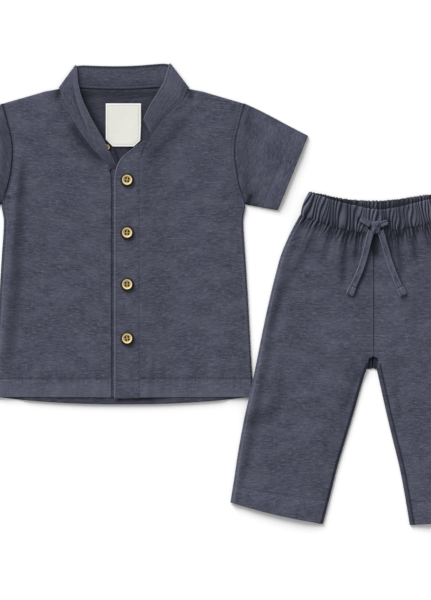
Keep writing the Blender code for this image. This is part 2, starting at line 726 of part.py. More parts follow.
def leg_back(name, table):
    rows = leg_back_table(table)
    outer = grid(lambda u, v: leg_back_point(rows, u, v, CLOTH), LEG_COLUMNS, LEG_ROWS)
    inner = grid(lambda u, v: leg_back_point(rows, u, v, 0.0), LEG_COLUMNS, LEG_ROWS)
    return shell(name, outer, inner, TROUSERS_AT, JERSEY_INSIDE)


def waist_point(u, v, top, z, gathered):
    """A point of the waistband: u along it, in rows of the table, and v from the seam to the top edge."""
    row = section(WAISTBAND, u)
    x = between(row[0], row[top], v)
    y = between(row[1], row[top + 1], v)
    end = smooth(min(u, len(WAISTBAND) - 1 - u) / 0.35)
    return x, y, z + gathered * gather(row[0]) * (0.3 + 0.7 * end)


def waistband(name, top, low, wall, look):
    last = len(WAISTBAND) - 1
    us = steps(0.0, last, 4 * GATHERS)
    rows = ((0.0, -0.3), (0.14, 0.2), (0.5, 0.35), (0.86, 0.2), (1.0, -0.3))
    outer = []
    for v, crown in rows:
        outer.append((v, [(u, waist_point(u, v, top, low + wall + crown, GATHER_BAND)) for u in us]))
    inner = grid(lambda u, v: waist_point(u, v, top, low, 0.0), steps(0.0, last, 6 * last), [0.0, 1.0])
    return shell(name, outer, inner, TROUSERS_AT, look)


def trouser_top(x, y):
    """The most that the trousers' front can reach at a place, for what lies on it."""
    down = max(0.0, height_at(x, waist_line()) - y)
    v = down * (len(LEG_LEFT) - 1) / (height_at(x, waist_line()) - LEG_LEFT[-1][3])
    return leg_front_z(x, y, v, CLEAR_OF_FOLDS, down, GATHER_REACH, 1.0, True)


def tape(name, route, z_at, width=TAPE_WIDTH, wall=TAPE_WALL, count=10):
    """A flat cord along a smooth route, with rounded edges."""
    last = len(route) - 1
    shape = ((-0.5, 0.0), (-0.38, 0.45), (0.0, 0.5), (0.38, 0.45), (0.5, 0.0), (0.38, -0.45), (0.0, -0.5),
             (-0.38, -0.45))
    bm = bmesh.new()
    rings = []
    for t in steps(0.0, last, count):
        x, y = section(route, t)
        x1, y1 = section(route, t + 0.02)
        x0, y0 = section(route, t - 0.02)
        across = Vector((y0 - y1, x1 - x0, 0)).normalized()
        middle = Vector((x, y, z_at(x, y)))
        rings.append([bm.verts.new((middle + across * a * width + Vector((0, 0, b * wall))
                                    + Vector((*TROUSERS_AT, 0))) * MM) for a, b in shape])
    for one, two in zip(rings, rings[1:]):
        for i in range(len(shape)):
            k = (i + 1) % len(shape)
            bm.faces.new((one[i], one[k], two[k], two[i]))
    bm.faces.new(rings[0])
    bm.faces.new(rings[-1])
    return finish(name, bm, JERSEY)


def on_trousers(x, y):
    return trouser_top(x, y) + GAP + TAPE_WALL / 2.0


def on_band(x, y):
    return FRONT_BAND_FROM + DOUBLE + 0.35 + GATHER_BAND + GAP + TAPE_WALL / 2.0


def knot():
    """The overhand knot: a flattened lump with three slanting turns."""
    bm = bmesh.new()
    bmesh.ops.create_uvsphere(bm, u_segments=20, v_segments=12, radius=1.0)
    z = FRONT_BAND_FROM + DOUBLE + 0.35 + GATHER_BAND + GAP + 1.07 * KNOT_SIZE[2]
    for vert in bm.verts:
        x, y, up = vert.co
        swell = 1.0 + 0.07 * math.cos(3.0 * math.atan2(up, x) + 3.5 * y)
        vert.co = Vector((x * swell * KNOT_SIZE[0] + KNOT_AT[0] + TROUSERS_AT[0],
                          y * KNOT_SIZE[1] + KNOT_AT[1] + TROUSERS_AT[1], up * swell * KNOT_SIZE[2] + z)) * MM
    return finish("drawstring_knot", bm, JERSEY)


def tab_route(tail):
    (x0, y0), (x1, y1) = tail[-2:]
    step = Vector((x1 - x0, y1 - y0)).normalized()
    start = Vector((x1, y1)) + step * GAP
    return [tuple(start), tuple(start + step * TAB_LENGTH / 2), tuple(start + step * TAB_LENGTH)]


def drawstring():
    for side, lead, tail in (("left", LEAD_LEFT, TAIL_LEFT), ("right", LEAD_RIGHT, TAIL_RIGHT)):
        tape(f"drawstring_lead_{side}", lead, on_band, width=5.0, count=3)
        tape(f"drawstring_{side}", tail, on_trousers, count=18)
        tape(f"drawstring_tab_{side}", tab_route(tail), on_trousers, width=TAB_WIDTH, wall=2.2, count=2)
    knot()


def centre():
    """Puts the origin under the middle of the whole set."""
    bpy.context.view_layer.update()
    corners = [obj.matrix_world @ Vector(corner) for obj in bpy.data.objects if not obj.hide_render
               for corner in obj.bound_box]
    shift = Vector([(min(c[i] for c in corners) + max(c[i] for c in corners)) / 2.0 for i in (0, 1)] + [0.0])
    for obj in bpy.data.objects:
        if obj.parent is None:
            obj.location -= shift


def main():
    for obj in list(bpy.data.objects):
        bpy.data.objects.remove(obj, do_unlink=True)
    shirt_back()
    shirt_front("shirt_front_left", FRONT_LEFT, 1, climb_left)
    shirt_front("shirt_front_right", front_right_table(), -1, lie_right)
    placket("placket_right", PLACKET_RIGHT, LAYER)
    placket("placket_left", PLACKET_LEFT, LAYER + DOUBLE + GAP)
    sleeve("sleeve_left", 1)
    sleeve("sleeve_right", -1)
    collar()
    neck_label()
    top = LAYER + 2.0 * DOUBLE + 2.0 * GAP
    for i, y in enumerate(BUTTON_HEIGHTS):
        button(f"button_{i + 1}", BUTTON_X, y, top)
    button("button_collar", *COLLAR_BUTTON_AT, LAYER, COLLAR_BUTTON_SIZE)
    leg_back("trouser_back_left", LEG_LEFT)
    leg_back("trouser_back_right", LEG_RIGHT)
    leg_front("trouser_front_left", LEG_LEFT)
    leg_front("trouser_front_right", LEG_RIGHT)
    waistband("waistband_back", 4, 0.0, BACK_BAND, JERSEY_INSIDE)
    waistband("waistband_front", 2, FRONT_BAND_FROM, DOUBLE, JERSEY)
    drawstring()
    centre()


main()
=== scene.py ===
# %% [markdown]
# A baby's band-collar shirt and pull-on trousers, laid flat side by side on a white table.
# The solids of the set are already made, and this lesson dresses them. It gives each panel a thin cloth
# shell with soft folds, stitched seams and a slub jersey finish.
# Lengths in the tables are millimetres, because cloth is cut in millimetres. Blender works in metres, so
# the last step of each piece multiplies by MM.

# %% Load the frame
import math

import bmesh
import bpy
import numpy as np
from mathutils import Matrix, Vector


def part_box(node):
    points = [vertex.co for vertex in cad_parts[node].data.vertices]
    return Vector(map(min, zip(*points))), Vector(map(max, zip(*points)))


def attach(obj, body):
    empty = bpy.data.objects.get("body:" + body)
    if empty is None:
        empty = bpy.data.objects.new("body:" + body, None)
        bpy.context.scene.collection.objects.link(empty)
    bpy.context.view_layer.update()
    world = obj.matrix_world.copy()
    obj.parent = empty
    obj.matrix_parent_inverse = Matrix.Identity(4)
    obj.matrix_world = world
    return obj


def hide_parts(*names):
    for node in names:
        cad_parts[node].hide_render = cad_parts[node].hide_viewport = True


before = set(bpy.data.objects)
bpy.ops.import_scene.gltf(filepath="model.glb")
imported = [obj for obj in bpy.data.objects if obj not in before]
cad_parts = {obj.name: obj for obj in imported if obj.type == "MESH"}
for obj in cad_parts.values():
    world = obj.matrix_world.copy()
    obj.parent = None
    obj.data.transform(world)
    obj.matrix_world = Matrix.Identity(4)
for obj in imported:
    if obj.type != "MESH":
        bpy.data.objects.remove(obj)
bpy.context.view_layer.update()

MM = 0.001
FRAME_PIXELS = (431, 600)
MM_A_PIXEL = 1.1
print("frame nodes:", len(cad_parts))

# %% [markdown]
# Every piece is placed from one known spot: the middle of the top button. In the shirt's own plan it lies at
# (4.1, 239.3), with the centre front at 0 and the hem at 0. The trousers have a plan of their own, with the
# centre seam at 0 and the hems at 0. The photograph's frame is tied to both plans by its scale.

# %% Find where the two garments lie
TOP_BUTTON = (4.1, 239.3)
SHIRT_TO_TROUSERS = (275.0, -140.2)


def middle_of(node):
    low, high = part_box(node)
    return [(low[i] + high[i]) / 2.0 / MM for i in range(3)]


button_middle = middle_of("button_1")
SHIRT_AT = np.array([button_middle[0] - TOP_BUTTON[0], button_middle[1] - TOP_BUTTON[1], 0.0])
TROUSERS_AT = SHIRT_AT + np.array([*SHIRT_TO_TROUSERS, 0.0])
print("shirt at", SHIRT_AT.round(2), "trousers at", TROUSERS_AT.round(2))

# %% [markdown]
# The camera hangs far above the table and looks straight down through a long lens, so nothing leans, as in a
# catalogue picture. The lens is worked out from the height of the camera and the height of the frame.

# %% Camera
CAMERA_UP = 6.0
SENSOR = 36.0
FRAME_CENTRE_PIXEL = (215.5, 300.0)
SHIRT_CENTRE_PIXEL = (123.5, 397.5)


def pixel_to_plan(px, py):
    """A pixel of the photograph in metres on the table."""
    x = (px - SHIRT_CENTRE_PIXEL[0]) * MM_A_PIXEL + SHIRT_AT[0]
    y = (SHIRT_CENTRE_PIXEL[1] - py) * MM_A_PIXEL + SHIRT_AT[1]
    return x * MM, y * MM


camera_data = bpy.data.cameras.new("camera")
camera_data.sensor_fit = "VERTICAL"
camera_data.sensor_height = SENSOR
camera_data.lens = SENSOR * CAMERA_UP / (FRAME_PIXELS[1] * MM_A_PIXEL * MM)
camera_data.clip_end = 50.0
camera = bpy.data.objects.new("camera", camera_data)
camera.location = (*pixel_to_plan(*FRAME_CENTRE_PIXEL), CAMERA_UP)
bpy.context.scene.collection.objects.link(camera)
bpy.context.scene.camera = camera
print("lens", round(camera_data.lens, 1), "mm")

# %% [markdown]
# The table is plain and white. A bright even sky fills all the hollows, and one soft sun from the upper left
# draws the short shadows at the lower right. The view transform is Standard, so white stays white.

# %% Table and light
FLOOR_SIZE = 8.0
FLOOR_DROP = 0.0003
FLOOR_WHITE = (0.925, 0.925, 0.925, 1)
SKY = 0.54
SUN = 4.2
SUN_SOFTNESS = math.radians(38)
SUN_TURN = (math.radians(-50), math.radians(-47), 0.0)

floor_mesh = bpy.data.meshes.new("table")
half = FLOOR_SIZE / 2.0
floor_mesh.from_pydata([(-half, -half, 0), (half, -half, 0), (half, half, 0), (-half, half, 0)], [],
                       [(0, 1, 2, 3)])
floor = bpy.data.objects.new("table", floor_mesh)
floor.location.z = -FLOOR_DROP
bpy.context.scene.collection.objects.link(floor)
floor_look = bpy.data.materials.new("table")
floor_look.use_nodes = True
floor_shader = floor_look.node_tree.nodes["Principled BSDF"]
floor_shader.inputs["Base Color"].default_value = FLOOR_WHITE
floor_shader.inputs["Roughness"].default_value = 1.0
floor_shader.inputs["Specular IOR Level"].default_value = 0.0
floor_mesh.materials.append(floor_look)

world = bpy.data.worlds.new("sky")
world.use_nodes = True
world.node_tree.nodes["Background"].inputs["Color"].default_value = (1, 1, 1, 1)
world.node_tree.nodes["Background"].inputs["Strength"].default_value = SKY
bpy.context.scene.world = world

sun_data = bpy.data.lights.new("sun", "SUN")
sun_data.energy = SUN
sun_data.angle = SUN_SOFTNESS
sun = bpy.data.objects.new("sun", sun_data)
sun.rotation_euler = SUN_TURN
bpy.context.scene.collection.objects.link(sun)
bpy.context.scene.view_settings.view_transform = "Standard"
print("sky", SKY, "sun", SUN)

# %% [markdown]
# A material is a small graph. Wiring it by hand is slow to read, so one class wraps an output socket and lets
# Python's own + - * / build the Math nodes. One method adds any other node from its type, its settings
# and the values or links of its sockets.

# %% A socket that can be used in sums
class Wire:
    """An output socket of a shader tree that adds, subtracts and multiplies."""

    def __init__(self, socket):
        self.socket = socket
        self.tree = socket.id_data

    @staticmethod
    def add(tree, kind, settings=None, values=None, out=0):
        """Adds a node and returns one of its outputs."""
        node = tree.nodes.new(kind)
        for name, value in (settings or {}).items():
            setattr(node, name, value)
        for name, value in (values or {}).items():
            target = node.inputs[name]
            if isinstance(value, Wire):
                tree.links.new(value.socket, target)
            else:
                target.default_value = value
        return Wire(node.outputs[out])

    def maths(self, operation, other, swap=False):
        first, second = (other, self) if swap else (self, other)
        return Wire.add(self.tree, "ShaderNodeMath", {"operation": operation}, {0: first, 1: second})

    def __add__(self, other):
        return self.maths("ADD", other)

    __radd__ = __add__

    def __mul__(self, other):
        return self.maths("MULTIPLY", other)

    __rmul__ = __mul__

    def __sub__(self, other):
        return self.maths("SUBTRACT", other)

    def __rsub__(self, other):
        return self.maths("SUBTRACT", other, swap=True)

    def between(self, low, high):
        """0 below low, 1 above high, with soft ends."""
        values = {"Value": self, "From Min": low, "From Max": high}
        return Wire.add(self.tree, "ShaderNodeMapRange", {"interpolation_type": "SMOOTHSTEP"}, values)

    def blend(self, low, high):
        """A colour from low to high as this value goes from 0 to 1."""
        values = {0: self, 6: low, 7: high}
        return Wire.add(self.tree, "ShaderNodeMix", {"data_type": "RGBA"}, values, out=2)


def start_material(name, **fixed):
    """A new material, its tree and its main shader, with the sockets that are the same all over."""
    material = bpy.data.materials.new(name)
    material.use_nodes = True
    shader = material.node_tree.nodes["Principled BSDF"]
    for key, value in fixed.items():
        shader.inputs[key.replace("_", " ")].default_value = value
    return material, material.node_tree, shader


def stored(tree, name):
    """A value that the mesh stores at its points."""
    return Wire.add(tree, "ShaderNodeAttribute", {"attribute_name": name}, out=2)


def noise(tree, place, scale, detail=2.0, rough=0.5):
    values = {"Vector": place, "Scale": scale, "Detail": detail, "Roughness": rough}
    return Wire.add(tree, "ShaderNodeTexNoise", values=values)


def stretched(tree, place, across, along):
    """A place on the cloth with its two directions scaled apart."""
    values = {"Vector": place, "Scale": (across, along, 1.0)}
    return Wire.add(tree, "ShaderNodeMapping", {"vector_type": "POINT"}, values)


def feed(shader, key, value):
    """Joins a worked-out value to one socket of the main shader."""
    value.tree.links.new(value.socket, shader.inputs[key])


def roughen(shader, height, strength, distance):
    """Bends the light on the surface by a height; the distance is in metres."""
    values = {"Strength": strength, "Distance": distance, "Height": height}
    feed(shader, "Normal", Wire.add(height.tree, "ShaderNodeBump", values=values))


print("shader helpers ready")

# %% [markdown]
# Slub jersey is knitted from yarn that is thick and thin by turns. Its thick stretches show as short pale
# dashes along the rows of the knit, and its thin ones as dark dashes. Noise that is stretched along the row
# gives both. The pattern reads the cloth's own UV map, in metres of cloth, so it turns with each leg and
# sleeve. Two attributes of the mesh help. The pale one, "edge", is 1 where a fold edge is pale, partly
# from wear and partly as a painted highlight, and it also carries painted highlights on the lit sides and
# crests of folds. The dark one is 1 in a stitched groove, as painted shade, and it also carries painted
# shade in creases, valleys and hollows and under other layers. The inner faces and the back of the
# waistband are darker copies of the same jersey, as painted shade, and the tape is a paler copy.

# %% Jersey
CLOTH_COLOUR = (0.0515, 0.0545, 0.0830, 1)
SLUB_PALE = (0.112, 0.118, 0.160, 1)
SLUB_DARK = (0.022, 0.024, 0.040, 1)
# Pale edges: wear and painted highlight. The dark colour after it is painted shade in grooves and hollows.
EDGE_PALE = (0.125, 0.131, 0.178, 1)
SEAM_AND_SHADE_DARK = (0.009, 0.010, 0.018, 1)
# Darker copies for the inner faces and the back band: painted shade.
INSIDE_SHADE = 0.62
BACK_BAND_SHADE = 0.78
TAPE_SHADE = 1.24
FINE_SLUB = (150.0, 620.0)
LONG_SLUB = (62.0, 400.0)
GRAIN = (420.0, 620.0)
PATCHES = (34.0, 60.0)
LOOPS = (700.0, 1500.0)


def shade_of(colour, amount):
    return (colour[0] * amount, colour[1] * amount, colour[2] * amount, 1)


def jersey(name, shade=1.0):
    """Slub jersey. Each pair of numbers above is a noise's scale across and along the cloth."""
    material, tree, shader = start_material(
        name, Sheen_Weight=0.06, Sheen_Roughness=0.5, Specular_IOR_Level=0.18)
    cloth = Wire.add(tree, "ShaderNodeUVMap", {"uv_map": "cloth"})
    fine = noise(tree, stretched(tree, cloth, *FINE_SLUB), 1.0, 1.0)
    long = noise(tree, stretched(tree, cloth, *LONG_SLUB), 1.0, 1.5)
    grain = noise(tree, stretched(tree, cloth, *GRAIN), 1.0, 1.0)
    patch = noise(tree, stretched(tree, cloth, *PATCHES), 1.0, 3.0)
    loops = noise(tree, stretched(tree, cloth, *LOOPS), 1.0, 1.0)
    pale = fine.between(0.52, 0.76) * 0.50 + long.between(0.56, 0.78) * 0.26 + grain.between(0.5, 0.78) * 0.40
    dark = fine.between(0.50, 0.27) * 0.54 + long.between(0.46, 0.26) * 0.30 + grain.between(0.5, 0.24) * 0.40
    colour = pale.blend(shade_of(CLOTH_COLOUR, shade), shade_of(SLUB_PALE, shade))
    colour = dark.blend(colour, shade_of(SLUB_DARK, shade))
    colour = (patch.between(0.35, 0.72) * 0.30).blend(colour, shade_of(SLUB_PALE, shade))
    # Wear and painted highlight on pale edges, then painted shade in grooves and hollows.
    colour = (stored(tree, "edge") * 0.62).blend(colour, shade_of(EDGE_PALE, shade))
    colour = (stored(tree, "seam") * 0.9).blend(colour, shade_of(SEAM_AND_SHADE_DARK, shade))
    feed(shader, "Base Color", colour)
    feed(shader, "Roughness", 0.9 - pale * 0.08)
    roughen(shader, fine * 0.7 + long * 0.5 + loops * 0.5, 0.55, 0.00035)
    return material


JERSEY = jersey("slub jersey")
# The inside and back band copies are darker as painted shade; the tape copy is paler.
JERSEY_INSIDE_SHADED = jersey("slub jersey inside", INSIDE_SHADE)
JERSEY_TAPE = jersey("jersey tape", TAPE_SHADE)
JERSEY_BACK_BAND = jersey("slub jersey back band", BACK_BAND_SHADE)
print("jersey materials:", JERSEY.name, JERSEY_INSIDE_SHADED.name, JERSEY_TAPE.name)

# %% [markdown]
# The thread is a little paler than the cloth, so a row of stitches reads as fine dots. The buttons look like
# horn: a toffee middle, a straw face, a pale ring that is a painted highlight on the raised rim, and a dark
# brown rim that is partly the horn's own dark edge and partly painted shadow. All of these depend only on the
# distance from the button's middle. The walls of their holes are painted near black without any shine, as
# the shade inside the holes, because the bright sky would look grey in them. The label is a white woven
# ribbon, and it is left bare.

# %% Thread, button and label
THREAD_COLOUR = (0.108, 0.114, 0.158, 1)
PINK_THREAD = (0.62, 0.47, 0.37, 1)
# HORN_DARK is the horn's dark edge and painted shadow; HORN_PALE is a painted highlight on the raised rim.
HORN_DARK = (0.022, 0.011, 0.004, 1)
HORN_PALE = (0.78, 0.69, 0.41, 1)
HORN_FACE = ((0.40, 0.29, 0.10, 1), (0.66, 0.55, 0.26, 1))
HORN_CORE = ((0.27, 0.17, 0.045, 1), (0.46, 0.31, 0.10, 1))
# Painted shade: the near-black walls of the buttons' holes.
HOLE_SHADE_COLOUR = (0.012, 0.005, 0.002, 1)
RIBBON_WHITE = ((0.64, 0.64, 0.59, 1), (0.75, 0.75, 0.70, 1))
RIBBON_FOLD = (0.80, 0.80, 0.78, 1)
RIBBON_SEAM = (0.42, 0.42, 0.40, 1)


def place_of(tree):
    """The place of each point in metres: the Object output of the Texture Coordinate node."""
    return Wire.add(tree, "ShaderNodeTexCoord", out=3)


def thread(name, colour):
    material, tree, shader = start_material(name, Sheen_Weight=0.1, Roughness=0.6)
    twist = noise(tree, place_of(tree), 2500.0, 1.0)
    feed(shader, "Base Color", twist.blend(shade_of(colour, 0.75), shade_of(colour, 1.2)))
    return material


def horn(name):
    """Horn look by attribute: "rim" is 0 in the middle of the button and 1 at its edge."""
    material, tree, shader = start_material(
        name, Coat_Weight=0.04, Coat_Roughness=0.3, Specular_IOR_Level=0.12)
    rim = stored(tree, "rim")
    grain = noise(tree, stretched(tree, place_of(tree), 260.0, 900.0), 1.0, 3.0, 0.6)
    colour = rim.between(0.44, 0.54).blend(grain.blend(*HORN_CORE), grain.blend(*HORN_FACE))
    # Painted highlight: the pale ring on the raised rim. Then the dark edge, partly painted shadow.
    colour = rim.between(0.55, 0.66).blend(colour, HORN_PALE)
    colour = rim.between(0.70, 0.74).blend(colour, HORN_DARK)
    feed(shader, "Base Color", colour)
    feed(shader, "Roughness", 0.42 + grain * 0.2)
    roughen(shader, grain, 0.25, 0.0001)
    return material


def ribbon(name):
    """Woven label: fine ribs across it, and a folded edge that stands paler."""
    material, tree, shader = start_material(name, Sheen_Weight=0.2, Specular_IOR_Level=0.4)
    cloth = Wire.add(tree, "ShaderNodeUVMap", {"uv_map": "cloth"})
    rib = noise(tree, stretched(tree, cloth, 300.0, 2600.0), 1.0, 1.0)
    mottle = noise(tree, stretched(tree, cloth, 220.0, 220.0), 1.0, 2.0)
    colour = (rib * 0.5 + mottle * 0.5).blend(*RIBBON_WHITE)
    colour = (stored(tree, "edge") * 0.85).blend(colour, RIBBON_FOLD)
    colour = (stored(tree, "seam") * 0.5).blend(colour, RIBBON_SEAM)
    feed(shader, "Base Color", colour)
    feed(shader, "Roughness", 0.62 - rib * 0.15)
    roughen(shader, rib, 0.3, 0.0001)
    return material


THREAD = thread("cotton thread", THREAD_COLOUR)
BUTTON_THREAD = thread("button thread", PINK_THREAD)
HORN = horn("horn")
RIBBON = ribbon("woven ribbon")
# Painted shade in the holes: a near-black material without shine.
HOLE_SHADE, _, hole_shader = start_material("horn in the holes", Roughness=0.9, Specular_IOR_Level=0.0)
hole_shader.inputs["Base Color"].default_value = HOLE_SHADE_COLOUR
print("small materials:", THREAD.name, BUTTON_THREAD.name, HORN.name, RIBBON.name)

# %% [markdown]
# A cut panel is described as a tailor would: a few sections across it, each with its two ends. A smooth curve
# through the sections gives every section in between. Rows and columns stand about 2 mm apart, and much
# closer where a stitched line needs a sharp groove. Numpy works on all the points of a panel at once.

# %% Curves and ladders
def smooth(t):
    """0 to 1 with soft ends."""
    t = np.clip(t, 0.0, 1.0)
    return t * t * (3.0 - 2.0 * t)


def hump(distance, half):
    """A soft ridge: 1 on its line, 0 a little more than half away from it."""
    return np.exp(-((distance / half) ** 2))


def sections(table, at):
    """All columns of a table at fractional row numbers, on a smooth curve through its rows."""
    table = np.asarray(table, float)
    last = len(table) - 1
    at = np.clip(np.asarray(at, float), 0.0, last)
    i = np.minimum(at.astype(int), last - 1)
    t = (at - i)[..., None]
    a, b, c, d = (table[np.clip(i + k, 0, last)] for k in (-1, 0, 1, 2))
    bend = (2 * a - 5 * b + 4 * c - d) * t * t + (3 * b - a - 3 * c + d) * t ** 3
    return 0.5 * (2 * b + (c - a) * t + bend)


EDGE_PLACES = (0.0, 0.25, 0.6, 1.1, 1.8)
MARK_SPREAD = (-0.9, -0.35, 0.0, 0.35, 0.9)
CLOSEST = 0.16


def near_edge(marks):
    """Distances from an edge at which a panel has its own columns or rows."""
    places = sorted({*EDGE_PLACES, *(m + s for m in marks for s in MARK_SPREAD if m + s > 0)})
    kept = [places[0]]
    for place in places[1:]:
        if place - kept[-1] > CLOSEST or place in marks:
            kept.append(place)
    return np.array(kept)


def columns(width, marks_a, marks_b, step):
    """Places across every row, as distances from its first end."""
    near_a = near_edge(marks_a)
    near_b = near_edge(marks_b)
    count = max(2, int(np.max(width) / step))
    share = np.linspace(0.0, 1.0, count + 2)[1:-1]
    middle = near_a[-1] + share * (width[:, None] - near_a[-1] - near_b[-1])
    first = np.repeat(near_a[None, :], len(width), 0)
    last = width[:, None] - near_b[::-1][None, :]
    return np.hstack([first, middle, last])


def ladder(table, marks_low, marks_high, step):
    """Fractional rows of a table, evenly spaced along the panel's middle and closer at the marks."""
    dense = np.linspace(0, len(table) - 1, 600)
    ends = sections(table, dense)
    middle = (ends[:, 0:2] + ends[:, 2:4]) / 2.0
    length = np.concatenate([[0.0], np.cumsum(np.linalg.norm(np.diff(middle, axis=0), axis=1))])
    total = length[-1]
    low = near_edge(marks_low)
    high = total - near_edge(marks_high)[::-1]
    count = max(2, int((high[0] - low[-1]) / step))
    places = np.concatenate([low, np.linspace(low[-1], high[0], count + 1)[1:-1], high])
    return np.interp(places, length, dense), places, total - places


print("ladder of a strip:", ladder(((0, 0, 10, 0), (0, 50, 10, 50)), (20,), (), 10)[1].round(1))

# %% [markdown]
# A shell is two copies of one grid, the outer face and the inner face, joined all round the rim. Writing the
# faces with numpy keeps this fast. The UV map holds the distance across and along the cloth, and the other
# pieces below use the same small helpers.

# %% Turn grids into a closed shell
made = {}


def grid_faces(rows, cols, offset, flip):
    index = np.arange(rows * cols).reshape(rows, cols) + offset
    quads = np.stack([index[:-1, :-1], index[:-1, 1:], index[1:, 1:], index[1:, :-1]], -1).reshape(-1, 4)
    return quads[:, ::-1] if flip else quads


def rim_faces(rows, cols):
    """Quads that join the outer grid's border to the inner grid's."""
    index = np.arange(rows * cols).reshape(rows, cols)
    loop = np.concatenate([index[0, :-1], index[:-1, -1], index[-1, :0:-1], index[:0:-1, 0]])
    after = np.roll(loop, -1)
    return np.stack([after, loop, loop + rows * cols, after + rows * cols], -1)


def shell(outer, inner, cloth, edge, seam):
    """Vertices, faces and per-vertex values of one closed shell, in millimetres."""
    rows, cols = outer.shape[:2]
    verts = np.concatenate([outer.reshape(-1, 3), inner.reshape(-1, 3)])
    faces = np.concatenate([grid_faces(rows, cols, 0, False), grid_faces(rows, cols, rows * cols, True),
                            rim_faces(rows, cols)])
    uv = np.concatenate([cloth.reshape(-1, 2)] * 2)
    pale = np.concatenate([edge.reshape(-1), edge.reshape(-1) * 0.0])
    dark = np.concatenate([seam.reshape(-1), seam.reshape(-1) * 0.0])
    return verts, faces, uv, pale, dark


def lay_cloth(mesh, places):
    """Stores where on the cloth every point lies, in metres, as the UV map."""
    loops = np.empty(len(mesh.loops), int)
    mesh.loops.foreach_get("vertex_index", loops)
    mesh.uv_layers.new(name="cloth").data.foreach_set("uv", places[loops].ravel())


def store(mesh, **values):
    """Stores named values at the points of a mesh, where a material can read them."""
    for key, value in values.items():
        mesh.attributes.new(key, "FLOAT", "POINT").data.foreach_set("value", value)


def face_outwards(mesh):
    bm = bmesh.new()
    bm.from_mesh(mesh)
    bmesh.ops.recalc_face_normals(bm, faces=bm.faces)
    bm.to_mesh(mesh)
    bm.free()


def add_object(name, mesh):
    """Adds a mesh to the scene as one of the set's pieces."""
    obj = bpy.data.objects.new(name, mesh)
    bpy.context.scene.collection.objects.link(obj)
    made[name] = obj
    return obj


def object_of(name, shells, at, material):
    """One object from one or more shells, with its UV map and its two attributes."""
    starts = np.cumsum([0] + [len(part[0]) for part in shells])
    verts = (np.concatenate([part[0] for part in shells]) + np.asarray(at)) * MM
    faces = np.concatenate([part[1] + start for part, start in zip(shells, starts)])
    cloth, pale, dark = (np.concatenate([part[k] for part in shells]) for k in (2, 3, 4))
    mesh = bpy.data.meshes.new(name)
    mesh.from_pydata(verts.tolist(), [], faces.tolist())
    lay_cloth(mesh, cloth * MM)
    store(mesh, edge=np.clip(pale, 0.0, 1.0), seam=np.clip(dark, 0.0, 1.0))
    mesh.shade_smooth()
    mesh.materials.append(material)
    face_outwards(mesh)
    return add_object(name, mesh)


print("shell maker ready")

# %% [markdown]
# Now the recipe for a panel. Its table gives the plan. A height rule gives the underside, and stitched lines
# press a groove into it. Each line is measured from one of the four borders: "a" and "b" are the two ends of
# the sections, "low" is the first row and "high" the last. A line also says how deep it is, how dark the
# painted shade in its groove is, and whether it is stitched. Stitched lines are kept, so that thread can be
# laid along them later.

# %% The panel recipe
WALL = 1.0
GROOVE = 0.55
RIM = 0.42
RIM_THINNING = 0.4
LOWEST = 0.15
THREAD_LIFT = 0.25
TABLE_GAP = 0.02
BORDERS = ("a", "b", "low", "high")
stitch_lines = []


class Panel:
    """A grid of points over a cut panel, with its distances from all four borders."""

    def __init__(self, table, lines=(), step=2.0, side=1.0, at=None, keep=None):
        marks = {key: tuple(d for where, d, *_ in lines if where == key) for key in BORDERS}
        self.v, low, high = ladder(table, marks["low"], marks["high"], step)
        ends = sections(table, self.v)
        self.width = np.linalg.norm(ends[:, 2:4] - ends[:, 0:2], axis=1)
        self.a = columns(self.width, marks["a"], marks["b"], step)
        self.b = self.width[:, None] - self.a
        self.low = np.repeat(low[:, None], self.a.shape[1], 1)
        self.high = np.repeat(high[:, None], self.a.shape[1], 1)
        self.u = self.a / self.width[:, None]
        plan = ends[:, None, 0:2] + (ends[:, None, 2:4] - ends[:, None, 0:2]) * self.u[..., None]
        self.x = plan[..., 0] * side
        self.y = plan[..., 1]
        self.rows = np.repeat(self.v[:, None], self.a.shape[1], 1)
        self.lines = lines
        self.keep = keep or {}
        self.at = at

    def away(self, where):
        return {"a": self.a, "b": self.b, "low": self.low, "high": self.high}[where]

    def press_lines(self):
        """Depth of the grooves, and the painted shade in them, at every point."""
        depth = np.zeros_like(self.x)
        dark = np.zeros_like(self.x)
        for i, (where, distance, deep, tone, _) in enumerate(self.lines):
            ridge = hump(self.away(where) - distance, GROOVE)
            if i in self.keep:
                ridge = ridge * self.keep[i](self.rows)
            depth += deep * ridge
            dark += tone * ridge
        return depth, dark

    def build(self, under, wall=WALL, edges="", dark=0.0, pale=0.0, flush=()):
        """Outer and inner grids from the underside's height, and the shell's values."""
        depth, pressed = self.press_lines()
        rim = sum(hump(self.away(where), RIM) for where in BORDERS if where not in flush)
        thick = wall * (1.0 - RIM_THINNING * np.clip(rim, 0, 1))
        self.z = under + thick - depth
        outer = np.stack([self.x, self.y, self.z], -1)
        inner = np.stack([self.x, self.y, np.maximum(under, TABLE_GAP)], -1)
        # Pale borders and marks: wear and painted highlight.
        wear_and_highlight = sum((hump(self.away(where), 1.0) for where in edges), np.zeros_like(self.x)) + pale
        for where, distance, _, _, stitched in self.lines:
            if stitched:
                stitch_lines.append(self.line(where, distance, outer))
        return shell(outer, inner, self.cloth, wear_and_highlight, pressed + dark)

    def line(self, where, distance, outer):
        """The points of the outer grid along one stitched line, in metres on the table."""
        if where in ("a", "b"):
            column = int(np.argmin(np.abs(self.away(where)[0] - distance)))
            points = outer[:, column]
        else:
            row = int(np.argmin(np.abs(self.away(where)[:, 0] - distance)))
            points = outer[row]
        return (points + np.array([0.0, 0.0, THREAD_LIFT]) + self.at) * MM

    def area(self):
        """Area of the cut, in square metres."""
        dx = np.hypot(np.diff(self.x, axis=1), np.diff(self.y, axis=1))[:-1]
        dy = np.diff(self.low, axis=0)[:, :-1]
        return float((dx * dy).sum()) * MM * MM


